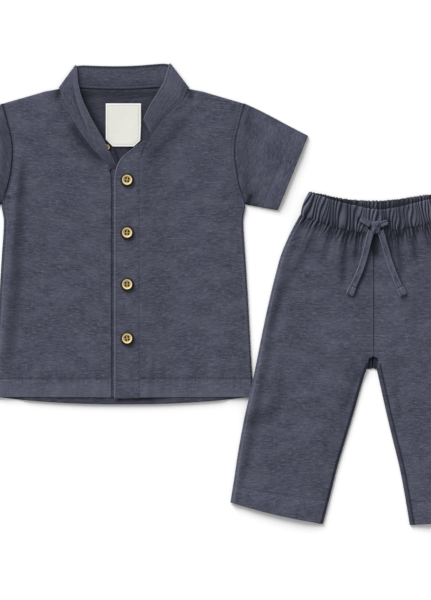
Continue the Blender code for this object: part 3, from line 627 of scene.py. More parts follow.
def knit(x, y, lean):
    """Places on the cloth whose knit rows lie at an angle on the table, and wander a little."""
    turn = math.radians(lean)
    u = x * math.cos(turn) + y * math.sin(turn)
    v = y * math.cos(turn) - x * math.sin(turn)
    return np.stack([u, v + 2.8 * np.sin(u / 31.0 + v / 90.0) + 1.3 * np.sin(u / 12.0 - v / 33.0)], -1)


print("panel recipe ready")

# %% [markdown]
# The plans below are the same as those of the solids, in the same millimetres: a section of a shirt front
# runs from its front edge to its side seam, and there is one row of numbers for each section from the hem up.

# %% Plans of the shirt
FRONT_LEFT = (
    (19.0, 0.0, 141.7, 0.5),
    (19.0, 22.0, 141.4, 22.0),
    (19.0, 60.0, 139.5, 58.0),
    (19.0, 105.0, 137.0, 105.0),
    (19.0, 150.0, 134.2, 150.0),
    (19.0, 190.0, 131.6, 192.0),
    (19.0, 215.0, 133.7, 212.6),
    (19.0, 235.0, 127.2, 234.0),
    (19.0, 255.0, 123.6, 254.0),
    (22.0, 272.0, 122.3, 272.0),
    (30.0, 288.0, 124.0, 288.0),
    (42.9, 305.8, 127.5, 302.0),
    (54.5, 317.9, 129.8, 311.0),
    (64.0, 327.0, 131.6, 317.0),
    (70.2, 339.9, 132.6, 321.8),
)
FRONT_RIGHT_INNER = (
    (14.0, 0.0), (14.0, 22.0), (14.0, 60.0), (14.0, 105.0), (14.0, 150.0), (14.0, 190.0), (14.0, 212.0),
    (14.0, 232.0), (14.6, 247.0), (19.5, 258.5), (33.6, 273.4), (46.8, 291.0), (57.8, 309.7), (65.5, 327.3),
    (69.4, 339.9),
)
FRONT_RIGHT = tuple((x, y, bx, by) for (x, y), (_, _, bx, by) in zip(FRONT_RIGHT_INNER, FRONT_LEFT))
PLACKET_LEFT = (
    (-10.0, -1.2, 18.7, -0.8),
    (-10.0, 60.0, 18.7, 60.0),
    (-10.0, 120.0, 18.7, 120.0),
    (-10.0, 180.0, 18.7, 180.0),
    (-10.0, 228.0, 18.7, 228.0),
    (-9.5, 245.2, 18.6, 246.0),
    (-6.4, 256.5, 18.8, 257.5),
    (-1.1, 264.8, 20.2, 268.5),
    (9.5, 273.2, 23.4, 276.5),
    (19.6, 280.5, 26.4, 282.8),
)
PLACKET_RIGHT = (
    (-13.7, 0.0, 14.3, 0.0),
    (-13.7, 80.0, 14.3, 80.0),
    (-13.7, 160.0, 14.3, 160.0),
    (-13.7, 236.0, 14.3, 236.0),
    (-13.4, 248.0, 14.3, 252.0),
    (-7.0, 257.0, 9.0, 261.0),
    (-8.6, 266.0, 0.5, 267.5),
    (-12.0, 274.5, -4.6, 273.5),
)
BACK_SHOULDER = ((0.0, 337.8), (40.0, 338.6), (62.0, 338.6), (76.0, 333.6))
CUFF_LOW = (169.7, 205.8)
CUFF_HIGH = (203.0, 287.7)
ARMPIT = 6
SHOULDER = 14
BACK_TOP = 13.6
print("shirt sections:", len(FRONT_LEFT), "and", len(PLACKET_LEFT))

# %% [markdown]
# Cloth that lies flat still has soft shallow folds. Each is a line with a half width and a height, and low
# crossing waves, under a millimetre high, keep the surface between them from looking ironed. A fold's height
# is added to the underside, so the whole wall rises with it. A crease that bends is a trail of points, and
# it dies out at both ends.

# %% Folds and ease
SHIRT_FOLDS = (
    (-114.0, 268.0, -124.0, 160.0, 5.5, 1.7),
    (-124.0, 160.0, -138.0, 20.0, 5.5, 1.7),
    (-62.0, 210.0, -118.0, 196.0, 9.0, 0.6),
    (112.0, 246.0, 88.0, 150.0, 9.0, 0.6),
    (60.0, 40.0, 124.0, 70.0, 10.0, 0.5),
    (-30.0, 120.0, -96.0, 92.0, 10.0, 0.5),
    (139.0, 219.0, 152.0, 252.0, 4.0, 0.7),
    (-139.0, 219.0, -152.0, 252.0, 4.0, 0.7),
    (146.0, 300.0, 176.0, 262.0, 6.0, 0.6),
    (-148.0, 298.0, -180.0, 258.0, 6.0, 0.6),
    (134.0, 314.0, 133.0, 240.0, 4.0, 0.9),
    (-134.0, 314.0, -133.0, 240.0, 4.0, 0.9),
    (-96.0, 6.0, -92.0, 34.0, 4.5, 0.9),
    (-70.0, 2.0, -73.0, 42.0, 5.0, 0.8),
    (-27.0, 4.0, -33.0, 46.0, 4.0, 0.9),
    (27.0, 2.0, 31.0, 44.0, 3.5, 0.9),
    (41.0, 4.0, 40.0, 38.0, 4.5, 0.8),
    (66.0, 2.0, 72.0, 30.0, 5.0, 0.6),
    (104.0, 4.0, 101.0, 36.0, 4.0, 0.7),
    (124.0, 226.0, 78.0, 232.0, 7.0, 0.7),
    (-124.0, 226.0, -84.0, 240.0, 7.0, 0.6),
)


def relief(x, y, folds):
    """Height that the soft folds add at every point."""
    total = np.zeros_like(x)
    for x0, y0, x1, y1, half_width, height in folds:
        dx, dy = x1 - x0, y1 - y0
        t = ((x - x0) * dx + (y - y0) * dy) / (dx * dx + dy * dy)
        away = np.hypot(x - x0 - dx * t, y - y0 - dy * t)
        reach = smooth(np.minimum(t + 0.3, 1.3 - t) / 0.45)
        total += height * hump(away, half_width) * reach
    return total


def trail(x, y, points, half_width, fade=14.0):
    """1 along a bent line of given points, and 0 away from it; it dies out at both ends."""
    points = np.asarray(points, float)
    steps = np.linalg.norm(np.diff(points, axis=0), axis=1)
    total = steps.sum()
    best = np.full(np.shape(x), 1e6)
    along = np.zeros(np.shape(x))
    start = 0.0
    for (x0, y0), (x1, y1), reach in zip(points, points[1:], steps):
        t = np.clip(((x - x0) * (x1 - x0) + (y - y0) * (y1 - y0)) / reach ** 2, 0.0, 1.0)
        away = np.hypot(x - x0 - (x1 - x0) * t, y - y0 - (y1 - y0) * t)
        along = np.where(away < best, start + t * reach, along)
        best = np.minimum(best, away)
        start += reach
    return hump(best, half_width) * smooth((along + 2.0) / fade) * smooth((total - along + 2.0) / fade)


def crease_shade(x, y, table):
    """Painted shade along a table of folds: points, half width, fading length and tone of each."""
    return sum(tone * trail(x, y, points, half_width, fade) for points, half_width, fade, tone in table)


def ease(x, y, size=15.0, height=0.8, seed=0.0):
    """Low uneven swells of resting cloth, from a few crossing waves."""
    total = np.zeros_like(x)
    for k, (turn, stretch) in enumerate(((0.3, 1.0), (1.2, 0.7), (2.1, 1.35), (2.8, 0.55), (0.8, 1.8))):
        wave = (x * math.cos(turn) + y * math.sin(turn)) / (size * stretch)
        total += np.sin(wave + seed + 2.4 * k + 0.9 * np.sin(wave * 0.43 + k))
    return height * (0.5 + total / 10.0)


print("fold lines:", len(SHIRT_FOLDS))

# %% [markdown]
# A shirt front rests on the back, 1.5 mm up, and swells a little in the middle. Its side edge is a fold that
# rolls down to the table. The hem is turned up and stitched 20 mm from its edge, so that band stands a
# little proud, and the stitches draw small waves into it, with painted shade in their hollows. The left front
# climbs next to the button band, which is two layers higher. Beside the collar each front puffs up, and a
# soft trough of painted shade runs along the seam. Soft shade is painted into the dark attribute too, along
# the seams and the folds, because white light from all sides hides shallow folds. The pale lines on the hem
# edge, the side fold and beside the collar are wear and painted highlight. Where two pieces are sewn
# together, one reaches a little under the other, so no table shows.

# %% Shirt fronts
LAYER = 1.5
SIDE_SEAM = 3.0
HEM_BAND = 20.0
HEM_RISE = 0.5
HEM_PUCKER = 0.3
PLACKET_RISE = 2.2
PLACKET_EASE = 38.0
SHOULDER_LIFT = 1.4
UNDERLAP = 0.8
NECK_FIRST = 9.0
# Troughs of painted shade: points, half width, fading length and tone of each.
FRONT_CREASE_SHADE = (
    (((-111, 268), (-113, 200), (-118, 110), (-128, 20)), 6.0, 34.0, 0.5),
    (((-58, 306), (-48, 289), (-34, 274), (-18, 257)), 10.0, 14.0, 0.66),
    (((66, 310), (50, 290), (38, 272), (22, 254)), 6.0, 18.0, 0.38),
    (((139, 218), (124, 222)), 2.0, 5.0, 0.5),
    (((-139, 218), (-124, 222)), 2.0, 5.0, 0.5),
    (((72, 342), (76, 326)), 2.4, 6.0, 0.5),
    (((-70, 342), (-73, 330)), 3.4, 5.0, 0.9),
)


def roll(distance, drop=0.9, width=2.2):
    """How far an edge has rolled down towards the table at this distance from it."""
    return drop * np.clip(1.0 - distance / width, 0.0, 1.0) ** 2.0


def turned(distance, band):
    """A turned hem stands a little above the panel."""
    return HEM_RISE * (1.0 - smooth((distance - band + 0.4) / 1.0))


def under_edge(table, last):
    """The same plan with its inner edge moved under its neighbour, up to one row."""
    return tuple((x - UNDERLAP if i <= last else x, y, bx, by) for i, (x, y, bx, by) in enumerate(table))


def hem_waves(p):
    """Uneven waves, from -1 to 1, that the stitches draw into the hem."""
    uneven = 0.5 + 0.5 * np.sin(p.x * 0.083 + 1.0) * np.sin(p.x * 0.19)
    return uneven * np.sin(p.x * 1.15 + 2.6 * np.sin(p.x * 0.17)) * hump(p.low - HEM_BAND, 4.0)


def front_height(p, below, at_neck, climbs):
    """Height of the underside of a shirt front."""
    swell = 1.1 * smooth(p.b / 30.0) * smooth(p.rows / 1.5) * smooth((SHOULDER - p.rows) / 3.0)
    swell += at_neck * (1.2 * hump(p.a - 17.0, 9.0) + 0.7 * hump(p.a, 6.0))
    under = LAYER + swell + (relief(p.x, p.y, SHIRT_FOLDS) + ease(p.x, p.y)) * smooth(p.b / 12.0)
    under += turned(p.low, HEM_BAND) * 0.4
    under -= roll(p.b) * below + roll(p.high, 1.2, 3.0)
    if climbs:
        under += PLACKET_RISE * (1.0 - smooth(p.a / PLACKET_EASE)) * (1.0 - smooth((p.rows - 9.0) / 3.0))
    return np.maximum(under, LOWEST)


def front_shade(p, below, at_neck):
    """Painted shade at the armhole, the side, the shoulder, the neck and the folds of a shirt front."""
    dark = 1.1 * smooth(p.rows - ARMPIT + 0.6) * hump(p.b, 1.0) + 0.4 * below * hump(p.b - 1.2, 1.2)
    dark += 0.5 * smooth(p.rows - SHOULDER + 0.6) * hump(p.high - 0.4, 1.1)
    dark += at_neck * (0.26 * hump(p.a - 6.0, 6.0) + 0.5 * hump(p.a, 0.8))
    return dark + crease_shade(p.x, p.y, FRONT_CREASE_SHADE)


def shirt_front(name, table, side, climbs):
    lines = (("b", SIDE_SEAM, 0.3, 0.0, False), ("low", HEM_BAND, 0.45, 0.34, True))
    p = Panel(table, lines, side=side, at=SHIRT_AT)
    p.y = p.y + SHOULDER_LIFT * smooth(p.rows - SHOULDER + 1.0) * smooth(p.u / 0.3)
    p.cloth = knit(p.x, p.y, 3.0 * side)
    below = 1.0 - smooth(p.rows - ARMPIT + 1.0)
    at_neck = smooth(p.rows - NECK_FIRST + 0.4)
    waves = hem_waves(p)
    # Painted shade in seams, folds and hem-wave hollows; the pale lines are wear and painted highlight.
    dark = front_shade(p, below, at_neck) + 0.36 * np.clip(-waves, 0.0, 1.0)
    wear_and_highlight = hump(p.low - 0.9, 1.1) + 0.45 * below * hump(p.b - 3.6, 0.8) + 0.4 * at_neck * hump(p.a - 2.6, 0.6)
    under = front_height(p, below, at_neck, climbs) + HEM_PUCKER * waves
    flush = () if side < 0 else ("a",)
    return object_of(name, [p.build(under, dark=dark, pale=wear_and_highlight, flush=flush)], SHIRT_AT, JERSEY), p


shirt_left, panel_left = shirt_front("shirt_front_left_cloth", under_edge(FRONT_LEFT, 8), 1.0, True)
shirt_right, panel_right = shirt_front("shirt_front_right_cloth", under_edge(FRONT_RIGHT, 7), -1.0, False)
print("left front:", panel_left.x.shape, "points,", round(panel_left.area(), 4), "m2")

# %% [markdown]
# The back lies face down on the table, with its inner face up. It shows inside the neck and as a crescent
# below the front hem, because the back hem is cut lower.

# %% Shirt back
TUCK = 3.2
BACK_HEM_DROP = 8.0
HEM_CURL = 1.6
# Painted shade along two folds of the back.
BACK_CREASE_SHADE = (
    (((-47, 334), (-40, 317), (-27, 293), (-15, 272)), 8.0, 8.0, 0.75),
    (((46, 336), (38, 328), (27, 312), (22, 296)), 5.0, 8.0, 0.45),
)


def shirt_back():
    plan = tuple((-bx, by, bx, by) for _, _, bx, by in FRONT_LEFT)
    p = Panel(plan, (("low", HEM_BAND, 0.2, 0.3, False),), step=3.0, at=SHIRT_AT)
    p.v = p.v * BACK_TOP / SHOULDER
    ends = sections(FRONT_LEFT, p.v)
    folded = 1.0 - smooth(p.v - ARMPIT + 0.5)
    reach = ends[:, 2] - TUCK * folded - 0.2
    across = 2.0 * p.u - 1.0
    p.x = across * reach[:, None]
    tip = sections(FRONT_LEFT, np.array([BACK_TOP]))[0]
    xs, ys = zip(*BACK_SHOULDER, (tip[2], tip[3]))
    drop = -BACK_HEM_DROP * (1.0 - np.abs(across) ** 2.2) * (1.0 - smooth(p.v / 2.0))[:, None]
    rise = (np.interp(np.abs(p.x), xs, ys) - tip[3]) * smooth((p.v - ARMPIT) / (BACK_TOP - ARMPIT))[:, None]
    in_neck = smooth((62.0 - np.abs(p.x)) / 4.0)
    p.y = ends[:, 3][:, None] + drop + rise + 1.8 * hump(p.high, 1.0) * in_neck
    # Painted shade under the collar seam and along the folds; the back's darker jersey copy is painted shade
    # too.
    shade = 0.8 * hump(p.high - 3.2, 2.1) * in_neck + crease_shade(p.x, p.y, BACK_CREASE_SHADE)
    p.cloth = knit(p.x, p.y, -2.0)
    under = HEM_CURL * hump(p.low, 4.5) * smooth((118.0 - np.abs(p.x)) / 14.0)
    return object_of("shirt_back_cloth", [p.build(under, wall=1.15, dark=shade)], SHIRT_AT, JERSEY_INSIDE_SHADED), p


back, panel_back = shirt_back()
print("back:", panel_back.x.shape, "points,", round(panel_back.area(), 4), "m2")

# %% [markdown]
# The button band is doubled cloth. The upper one belongs to the left front: its front edge is a fold that is
# pale, partly from wear and partly as a painted highlight, with a line of stitches beside it, and it is sewn
# down along its other edge. At the top it is turned open. The under band shows as a narrow strip beside it,
# darkened with painted shade, and as a small tongue at the neck, which is painted darker because it lies in
# the collar's shade.

# %% Button bands
UPPER_BAND_AT = 3.35
UPPER_WALL = 1.55
UNDER_WALL = 1.15
TONGUE_FIRST = 4.9
UPPER_LINES = (("a", 2.6, 0.3, 0.3, True), ("b", 1.2, 0.18, 0.16, False), ("low", 19.0, 0.3, 0.35, True))
UNDER_LINES = (("a", 2.4, 0.2, 0.2, False),)


def button_band(name, table, height, wall, lines, edges="", shade=0.0, tongue=0.0, flush=()):
    p = Panel(table, lines, step=1.8, at=SHIRT_AT)
    p.cloth = knit(p.x, p.y, 3.0)
    under = height + ease(p.x, p.y, 14.0, 0.35, 2.0) + 0.3 * hump(p.a - 1.5, 2.0)
    # Painted shade: the strip beside the upper band, and the tongue in the collar's shade.
    dark = shade * hump(p.a - 0.8, 1.6) + tongue * smooth((p.rows - TONGUE_FIRST) / 0.6)
    return object_of(name, [p.build(under, wall, edges, dark, flush=flush)], SHIRT_AT, JERSEY), p


band_upper, panel_upper = button_band(
    "placket_left_cloth", PLACKET_LEFT, UPPER_BAND_AT, UPPER_WALL, UPPER_LINES, edges="a", flush=("b",))
band_under, panel_under = button_band(
    "placket_right_cloth", under_edge(PLACKET_RIGHT, 4), LAYER, UNDER_WALL, UNDER_LINES,
    shade=0.62, tongue=0.75, flush=("a",))
print("upper band:", panel_upper.x.shape, "under band:", panel_under.x.shape)

# %% [markdown]
# A short sleeve is a tube, pressed flat. Its top layer runs from the armhole to the cuff, and both its long
# edges roll down to the table. The bottom layer is a plain panel a little narrower. The armhole seam is a
# deep soft groove with a broad painted shade beside it, one short fold starts at the armpit with painted
# shade along it, the top edge is painted darker, and the shoulder line bows up a little. The cuff is turned
# and stitched.

# %% Sleeves
CUFF_BAND = 17.0
SEAM_LAP = 0.7
SLEEVE_BOW = 2.3
ARMPIT_FOLD = ((140.0, 222.0), (137.2, 216.0), (135.0, 211.0))


def sleeve_table(inset):
    """Sections along the sleeve from the underarm edge to the top edge: armhole end and cuff end."""
    rows = []
    for share in np.linspace(0.0, 1.0, 9):
        kept = inset + (1.0 - 2.0 * inset) * share
        arm = sections(FRONT_LEFT, np.array([ARMPIT + (SHOULDER - ARMPIT) * kept]))[0]
        cuff = np.array(CUFF_LOW) + (np.array(CUFF_HIGH) - np.array(CUFF_LOW)) * kept
        rows.append((arm[2] - SEAM_LAP, arm[3], cuff[0], cuff[1]))
    return tuple(rows)


def sleeve(name, side):
    lines = (("b", CUFF_BAND, 0.4, 0.5, True), ("a", 2.4, 0.2, 0.1, False))
    top = Panel(sleeve_table(0.0), lines, step=1.9, side=side, at=SHIRT_AT)
    bow = SLEEVE_BOW * hump(top.u - 0.2, 0.5) * smooth(top.rows - 7.0)
    top.x = top.x + 0.4 * side * bow
    top.y = top.y + 0.9 * bow
    middle = smooth(np.minimum(top.low, top.high) / 16.0)
    under = LAYER + middle * (0.9 + relief(top.x, top.y, SHIRT_FOLDS) + ease(top.x, top.y, 17.0, 0.5, 4.0))
    under += turned(top.b, CUFF_BAND) * 0.4
    under -= roll(top.low) + roll(top.high)
    under -= 0.7 * hump(top.a, 1.5)
    # Painted shade at the armhole seam, beside it, along the top edge and along the armpit fold.
    sleeve_shade = 1.1 * hump(top.a - SEAM_LAP, 0.85) + (0.42 - 0.02 * top.rows) * hump(top.a - 9.5, 7.5)
    fold = [(side * x, y) for x, y in ARMPIT_FOLD]
    sleeve_shade = sleeve_shade + 0.45 * hump(top.high - 0.4, 1.1) + 1.4 * trail(top.x, top.y, fold, 1.9, 3.0)
    lean = math.degrees(math.atan2(CUFF_HIGH[1] - CUFF_LOW[1], (CUFF_HIGH[0] - CUFF_LOW[0]) * side))
    top.cloth = knit(top.x, top.y, lean)
    shells = [top.build(np.maximum(under, LOWEST), dark=sleeve_shade)]
    bottom = Panel(sleeve_table(0.022), (), step=4.0, side=side, at=SHIRT_AT)
    bottom.cloth = knit(bottom.x, bottom.y, lean)
    shells.append(bottom.build(np.zeros_like(bottom.x)))
    return object_of(name, shells, SHIRT_AT, JERSEY), top


sleeve_left, panel_sleeve = sleeve("sleeve_left_cloth", 1.0)
sleeve_right, panel_sleeve_right = sleeve("sleeve_right_cloth", -1.0)
print("sleeve:", panel_sleeve.x.shape, round(panel_sleeve.area() * 2, 4), "m2 all round")

# %% [markdown]
# The band collar is one strip that goes round the neck. Behind the neck it lies with its inner face up, at
# each shoulder it folds over, and its two fronts lie on the shirt with the outer face up. It is a row of
# cross sections. Each gives the sewn edge, the free edge and the direction of the outer face.

# %% Sections of the collar
COLLAR_WALL = 1.7
COLLAR_LIFT = 4.4
COLLAR_BASE = 2.85
COLLAR_RISE = 0.55
COLLAR_LAP = 0.9
COLLAR_DOWN = 0.9
SHOULDER_TURNS = (157, 135, 112, 90, 67, 45, 22, 0)
COLLAR_LEFT = (
    (10.0, 21.9, 305.8),
    (10.5, 25.6, 315.0),
    (11.0, 29.5, 322.5),
    (11.5, 34.0, 329.6),
    (12.0, 38.6, 337.0),
    (12.5, 42.2, 343.4),
    (13.0, 44.6, 348.2),
    (13.5, 47.4, 357.5),
    (14.0, 50.0, 366.5),
)
COLLAR_RIGHT = (
    (8.3, 5.5, 252.0),
    (8.6, 7.0, 255.0),
    (9.0, 9.4, 259.0),
    (9.5, 15.0, 270.0),
    (10.0, 20.9, 281.9),
    (10.5, 28.0, 294.3),
    (11.0, 34.6, 306.0),
    (11.5, 40.5, 317.9),
    (12.0, 44.2, 326.0),
    (12.5, 47.0, 334.0),
    (13.0, 48.9, 342.0),
    (13.5, 50.2, 350.0),
    (14.0, 51.2, 364.8),
)
COLLAR_BACK = (
    (54.0, 341.3, 43.5, 367.2),
    (39.0, 340.8, 32.0, 366.4),
    (20.0, 339.4, 17.0, 365.2),
    (0.0, 338.6, 0.0, 364.5),
    (-20.0, 338.7, -17.0, 364.5),
    (-39.0, 339.5, -32.0, 364.9),
    (-54.0, 340.6, -44.0, 365.3),
)


def collar_half(side, rows, table):
    """Sections of one collar front, from its front end to the fold at the shoulder."""
    half = []
    for row, x, y in rows:
        ax, ay = sections(table, np.array([row]))[0][:2]
        outward = np.array([ax - x, ay - y]) / math.hypot(x - ax, y - ay) * COLLAR_LAP
        share = (row - rows[0][0]) / (rows[-1][0] - rows[0][0])
        base = COLLAR_BASE + COLLAR_RISE * float(smooth((share - 0.3) / 0.35))
        if side > 0:
            base += 0.6 * float(1.0 - smooth(share * 3.0))
            stand = math.sin(math.pi * (0.25 + 0.75 * share)) ** 0.8
        else:
            base -= 0.9 * float(1.0 - smooth(share * 6.0))
            stand = math.sin(math.pi * share) ** 0.6
        tip = base + COLLAR_LIFT * stand
        half.append((side * (ax + outward[0]), ay + outward[1], base, side * x, y, tip, 0, 0, 1))
    sewn, free = np.array(half[-1][0:2]), np.array(half[-1][3:5])
    line = (free - sewn) / np.linalg.norm(free - sewn)
    out = np.array([line[1], -line[0]])
    out = out if out[0] * side > 0 else -out
    radius = (half[-1][2] - COLLAR_DOWN) / 2.0
    for turn in np.radians(SHOULDER_TURNS):
        shift = out * radius * math.sin(turn)
        z = COLLAR_DOWN + radius - radius * math.cos(turn)
        normal = (out[0] * math.sin(turn), out[1] * math.sin(turn), -math.cos(turn))
        half.append((*(sewn + shift), z, *(free + shift), z, *normal))
    return half


def collar_rows():
    left = collar_half(1, COLLAR_LEFT, FRONT_LEFT)
    right = collar_half(-1, COLLAR_RIGHT, FRONT_RIGHT)
    middle = [(ax, ay, COLLAR_DOWN, bx, by, COLLAR_DOWN, 0, 0, -1) for ax, ay, bx, by in COLLAR_BACK]
    return np.array(left + middle + right[::-1])


print("collar sections:", len(collar_rows()))

# %% [markdown]
# The strip is filled in between its sections and given its wall. Two stitched lines press into it, near the
# sewn edge and near the free edge. One long crease runs down the front that the neck opening pushes over; it
# is painted only, as a pale line of painted highlight beside a dark line of painted shade. A dark line of
# painted shade under the back and a thin painted highlight beside it show where the collar is sewn to the
# neck.

# %% Collar
COLLAR_ACROSS = (
    0.0, 0.012, 0.035, 0.075, 0.10, 0.125, 0.17, 0.24, 0.33, 0.42, 0.46, 0.5, 0.54, 0.58, 0.62, 0.66,
    0.70, 0.76, 0.83, 0.875, 0.90, 0.925, 0.965, 0.988, 1.0,
)
COLLAR_STITCH = (0.10, 0.90)
COLLAR_TALL = 24.0
COLLAR_STEP = 2.2


def collar_grid(rows):
    """Points halfway through the wall on fine sections, and the direction of the outer face."""
    at = []
    for i in range(len(rows) - 1):
        reach = np.linalg.norm(rows[i + 1][:6] - rows[i][:6])
        at += list(i + np.arange(0, 1, 1.0 / max(1, round(reach / COLLAR_STEP))))
    at.append(len(rows) - 1)
    fine = sections(rows, np.array(at))
    share = np.array(COLLAR_ACROSS)[None, :, None]
    middle = fine[:, None, 0:3] * (1 - share) + fine[:, None, 3:6] * share
    return middle, fine[:, 6:9] / np.linalg.norm(fine[:, 6:9], axis=1, keepdims=True)


def collar_tones(along, u, up, groove):
    """Painted highlight and painted shade on the collar, from the distance along it and the share across it.
    """
    sewn, free = u * COLLAR_TALL, (1 - u) * COLLAR_TALL
    from_end = along[-1] - along
    ends = hump(along, 0.8) + hump(from_end, 0.8)
    # Pale edges, ends and lines: wear and painted highlight.
    pale = 0.9 * hump(free, 1.0) + 0.8 * ends + 0.35 * hump(sewn - 1.0, 0.9)
    pale = pale + 0.5 * hump(free - 3.4, 0.6) + 0.5 * hump(along - 2.2, 0.7) * (u > 0.1)
    pale = pale + 0.32 * (along < 90.0) * smooth(u * 2.0) + 0.9 * up * hump(sewn - 2.0, 0.9)
    # Painted shade in the grooves and at the edges; behind the neck a dark seam line, a soft band and a darker
    # face.
    neck_seam_shade = 1.5 * hump(sewn - 0.2, 0.9) + 0.25 * hump(sewn - 5.0, 3.0)
    dark = 0.5 * groove + 0.3 * hump(sewn, 0.6) + 0.4 * hump(along - 1.2, 0.5)
    dark = dark + up * (1.1 * hump(free - 1.6, 1.0) + 0.12 + neck_seam_shade)
    # Painted shade towards the front end of the collar's right half.
    dark = dark + 0.34 * smooth((28.0 - from_end) / 14.0)
    # A crease painted only in tone: a pale line of painted highlight beside a dark line of painted shade.
    painted_crease = smooth((from_end - 50.0) / 10.0) * smooth((106.0 - from_end) / 10.0)
    beside = (u - 0.48 - 0.005 * (from_end - 60.0)) * COLLAR_TALL
    return pale + 0.6 * painted_crease * hump(beside - 2.0, 1.6), dark + 0.7 * painted_crease * hump(beside, 1.3)


def collar():
    middle, normal = collar_grid(collar_rows())
    u = np.array(COLLAR_ACROSS) * np.ones((len(middle), 1))
    up = normal[:, 2:3] < -0.5
    groove = sum(hump((u - s) * COLLAR_TALL, 0.55) for s in COLLAR_STITCH)
    rim = hump(u * COLLAR_TALL, 0.5) + hump((1 - u) * COLLAR_TALL, 0.5)
    thick = COLLAR_WALL / 2.0 * (1.0 - 0.35 * rim) - 0.22 * groove
    swell = (ease(middle[..., 0], middle[..., 1], 12.0, 0.35, 1.0) + 0.2 * np.sin(math.pi * u)) * (1 - up)
    middle = middle + normal[:, None, :] * swell[..., None] * np.abs(normal[:, None, 2:3])
    outer = middle + normal[:, None, :] * thick[..., None]
    inner = middle - normal[:, None, :] * thick[..., None]
    steps = np.linalg.norm(np.diff(middle[:, COLLAR_ACROSS.index(0.5)], axis=0), axis=1)
    along = np.concatenate([[0], np.cumsum(steps)])[:, None]
    cloth = np.stack([along + u * 0, u * COLLAR_TALL + 900.0], -1)
    tones = collar_tones(along, u, up, groove)
    verts, faces, uv, _, _ = shell(outer, inner, cloth, *tones)
    both_faces = [np.concatenate([tone.reshape(-1)] * 2) for tone in tones]
    for s in COLLAR_STITCH:
        column = COLLAR_ACROSS.index(s)
        face_up = np.where(up, inner[:, column] + [0, 0, 0.2], outer[:, column] + normal * 0.2)
        stitch_lines.append((face_up + SHIRT_AT) * MM)
    return object_of("collar_cloth", [(verts, faces, uv, *both_faces)], SHIRT_AT, JERSEY), along[-1, 0]


collar_cloth, collar_length = collar()
print("collar strip:", round(float(collar_length)), "mm long")

# %% [markdown]
# The trousers' plans follow: one row for each section of a leg from the waist down, from its outer edge to
# its inner edge. The waistband's rows run from left to right: its sewn edge, the top edge of its front and
# the top edge of its back.

# %% Plans of the trousers
LEG_RIGHT = (
    (-80.8, 338.6, -0.3, 320.4),
    (-90.3, 322.4, -0.3, 304.0),
    (-101.2, 298.5, -0.3, 281.0),
    (-107.0, 278.3, -0.3, 260.0),
    (-112.6, 256.0, -0.4, 239.0),
    (-117.6, 234.0, -0.7, 219.0),
    (-121.8, 214.0, -1.2, 201.0),
    (-125.4, 196.0, -1.8, 185.4),
    (-129.0, 178.0, -7.0, 173.0),
    (-133.4, 157.5, -13.4, 153.4),
    (-138.0, 136.5, -21.7, 124.0),
    (-142.3, 116.8, -30.4, 95.0),
    (-148.9, 80.6, -39.1, 66.2),
    (-153.6, 49.0, -47.2, 34.0),
    (-157.5, 24.8, -55.7, 1.1),
)
LEG_LEFT = (
    (91.3, 337.6, 0.3, 320.4),
    (102.0, 320.0, 0.3, 304.0),
    (110.8, 300.0, 0.3, 281.0),
    (117.0, 276.0, 0.3, 260.0),
    (121.8, 253.0, 0.2, 239.0),
    (125.2, 231.0, -0.1, 219.0),
    (127.8, 210.0, -0.6, 201.0),
    (129.8, 192.0, -1.0, 185.4),
    (131.4, 176.0, 3.4, 171.4),
    (133.2, 154.0, 8.6, 148.0),
    (135.2, 130.0, 14.4, 122.0),
    (137.0, 106.0, 20.6, 96.0),
    (139.4, 74.0, 28.3, 64.5),
    (141.6, 40.0, 34.2, 34.0),
    (143.2, 12.1, 39.8, -0.1),
)
WAISTBAND = (
    (-80.5, 339.6, -71.0, 365.6, -70.8, 366.6),
    (-67.0, 335.8, -59.0, 361.8, -58.0, 364.2),
    (-46.0, 328.6, -41.0, 356.2, -40.0, 360.4),
    (-24.0, 323.3, -21.0, 351.4, -20.0, 357.6),
    (2.0, 321.2, 4.0, 346.8, 4.0, 356.7),
    (28.0, 324.8, 26.0, 349.6, 26.0, 358.6),
    (56.0, 330.2, 51.0, 355.4, 51.0, 362.2),
    (76.0, 334.6, 68.0, 360.0, 67.0, 364.2),
    (91.0, 338.8, 81.0, 364.9, 80.6, 366.2),
)
CROTCH = 7
TROUSER_FOLDS = (
    (-14.0, 176.0, -70.0, 206.0, 9.0, 1.0),
    (10.0, 178.0, 66.0, 214.0, 9.0, 1.0),
    (-30.0, 150.0, -92.0, 132.0, 11.0, 0.8),
    (34.0, 140.0, 96.0, 168.0, 11.0, 0.8),
    (-82.0, 300.0, -106.0, 190.0, 9.0, 0.7),
    (92.0, 300.0, 112.0, 200.0, 9.0, 0.7),
    (-60.0, 100.0, -126.0, 70.0, 13.0, 0.7),
    (52.0, 60.0, 112.0, 92.0, 13.0, 0.7),
)
print("leg sections:", len(LEG_RIGHT), "band sections:", len(WAISTBAND))

# %% [markdown]
# Elastic pulls the waist into gathers. Their spacing and depth are uneven, and each has a broad rounded top
# and a narrow valley. The same gathers run on into the legs, where they fade out at different lengths, so
# both pieces read one rule: the height of the gathers at a place along the waist. Two more rules go with it:
# a thin painted highlight along the side of each gather that faces the light, and the finer crinkle at the
# sewn line.

# %% Gathers
GATHERS = 42
WAIST_LEFT_X = -80.5
WAIST_RIGHT_X = 91.0


def gather_turn(x):
    t = (x - WAIST_LEFT_X) / (WAIST_RIGHT_X - WAIST_LEFT_X)
    return GATHERS * t + 0.34 * np.sin(9.0 * t) + 0.30 * np.sin(31.0 * t + 1.0) + 0.2 * np.sin(83.0 * t), t


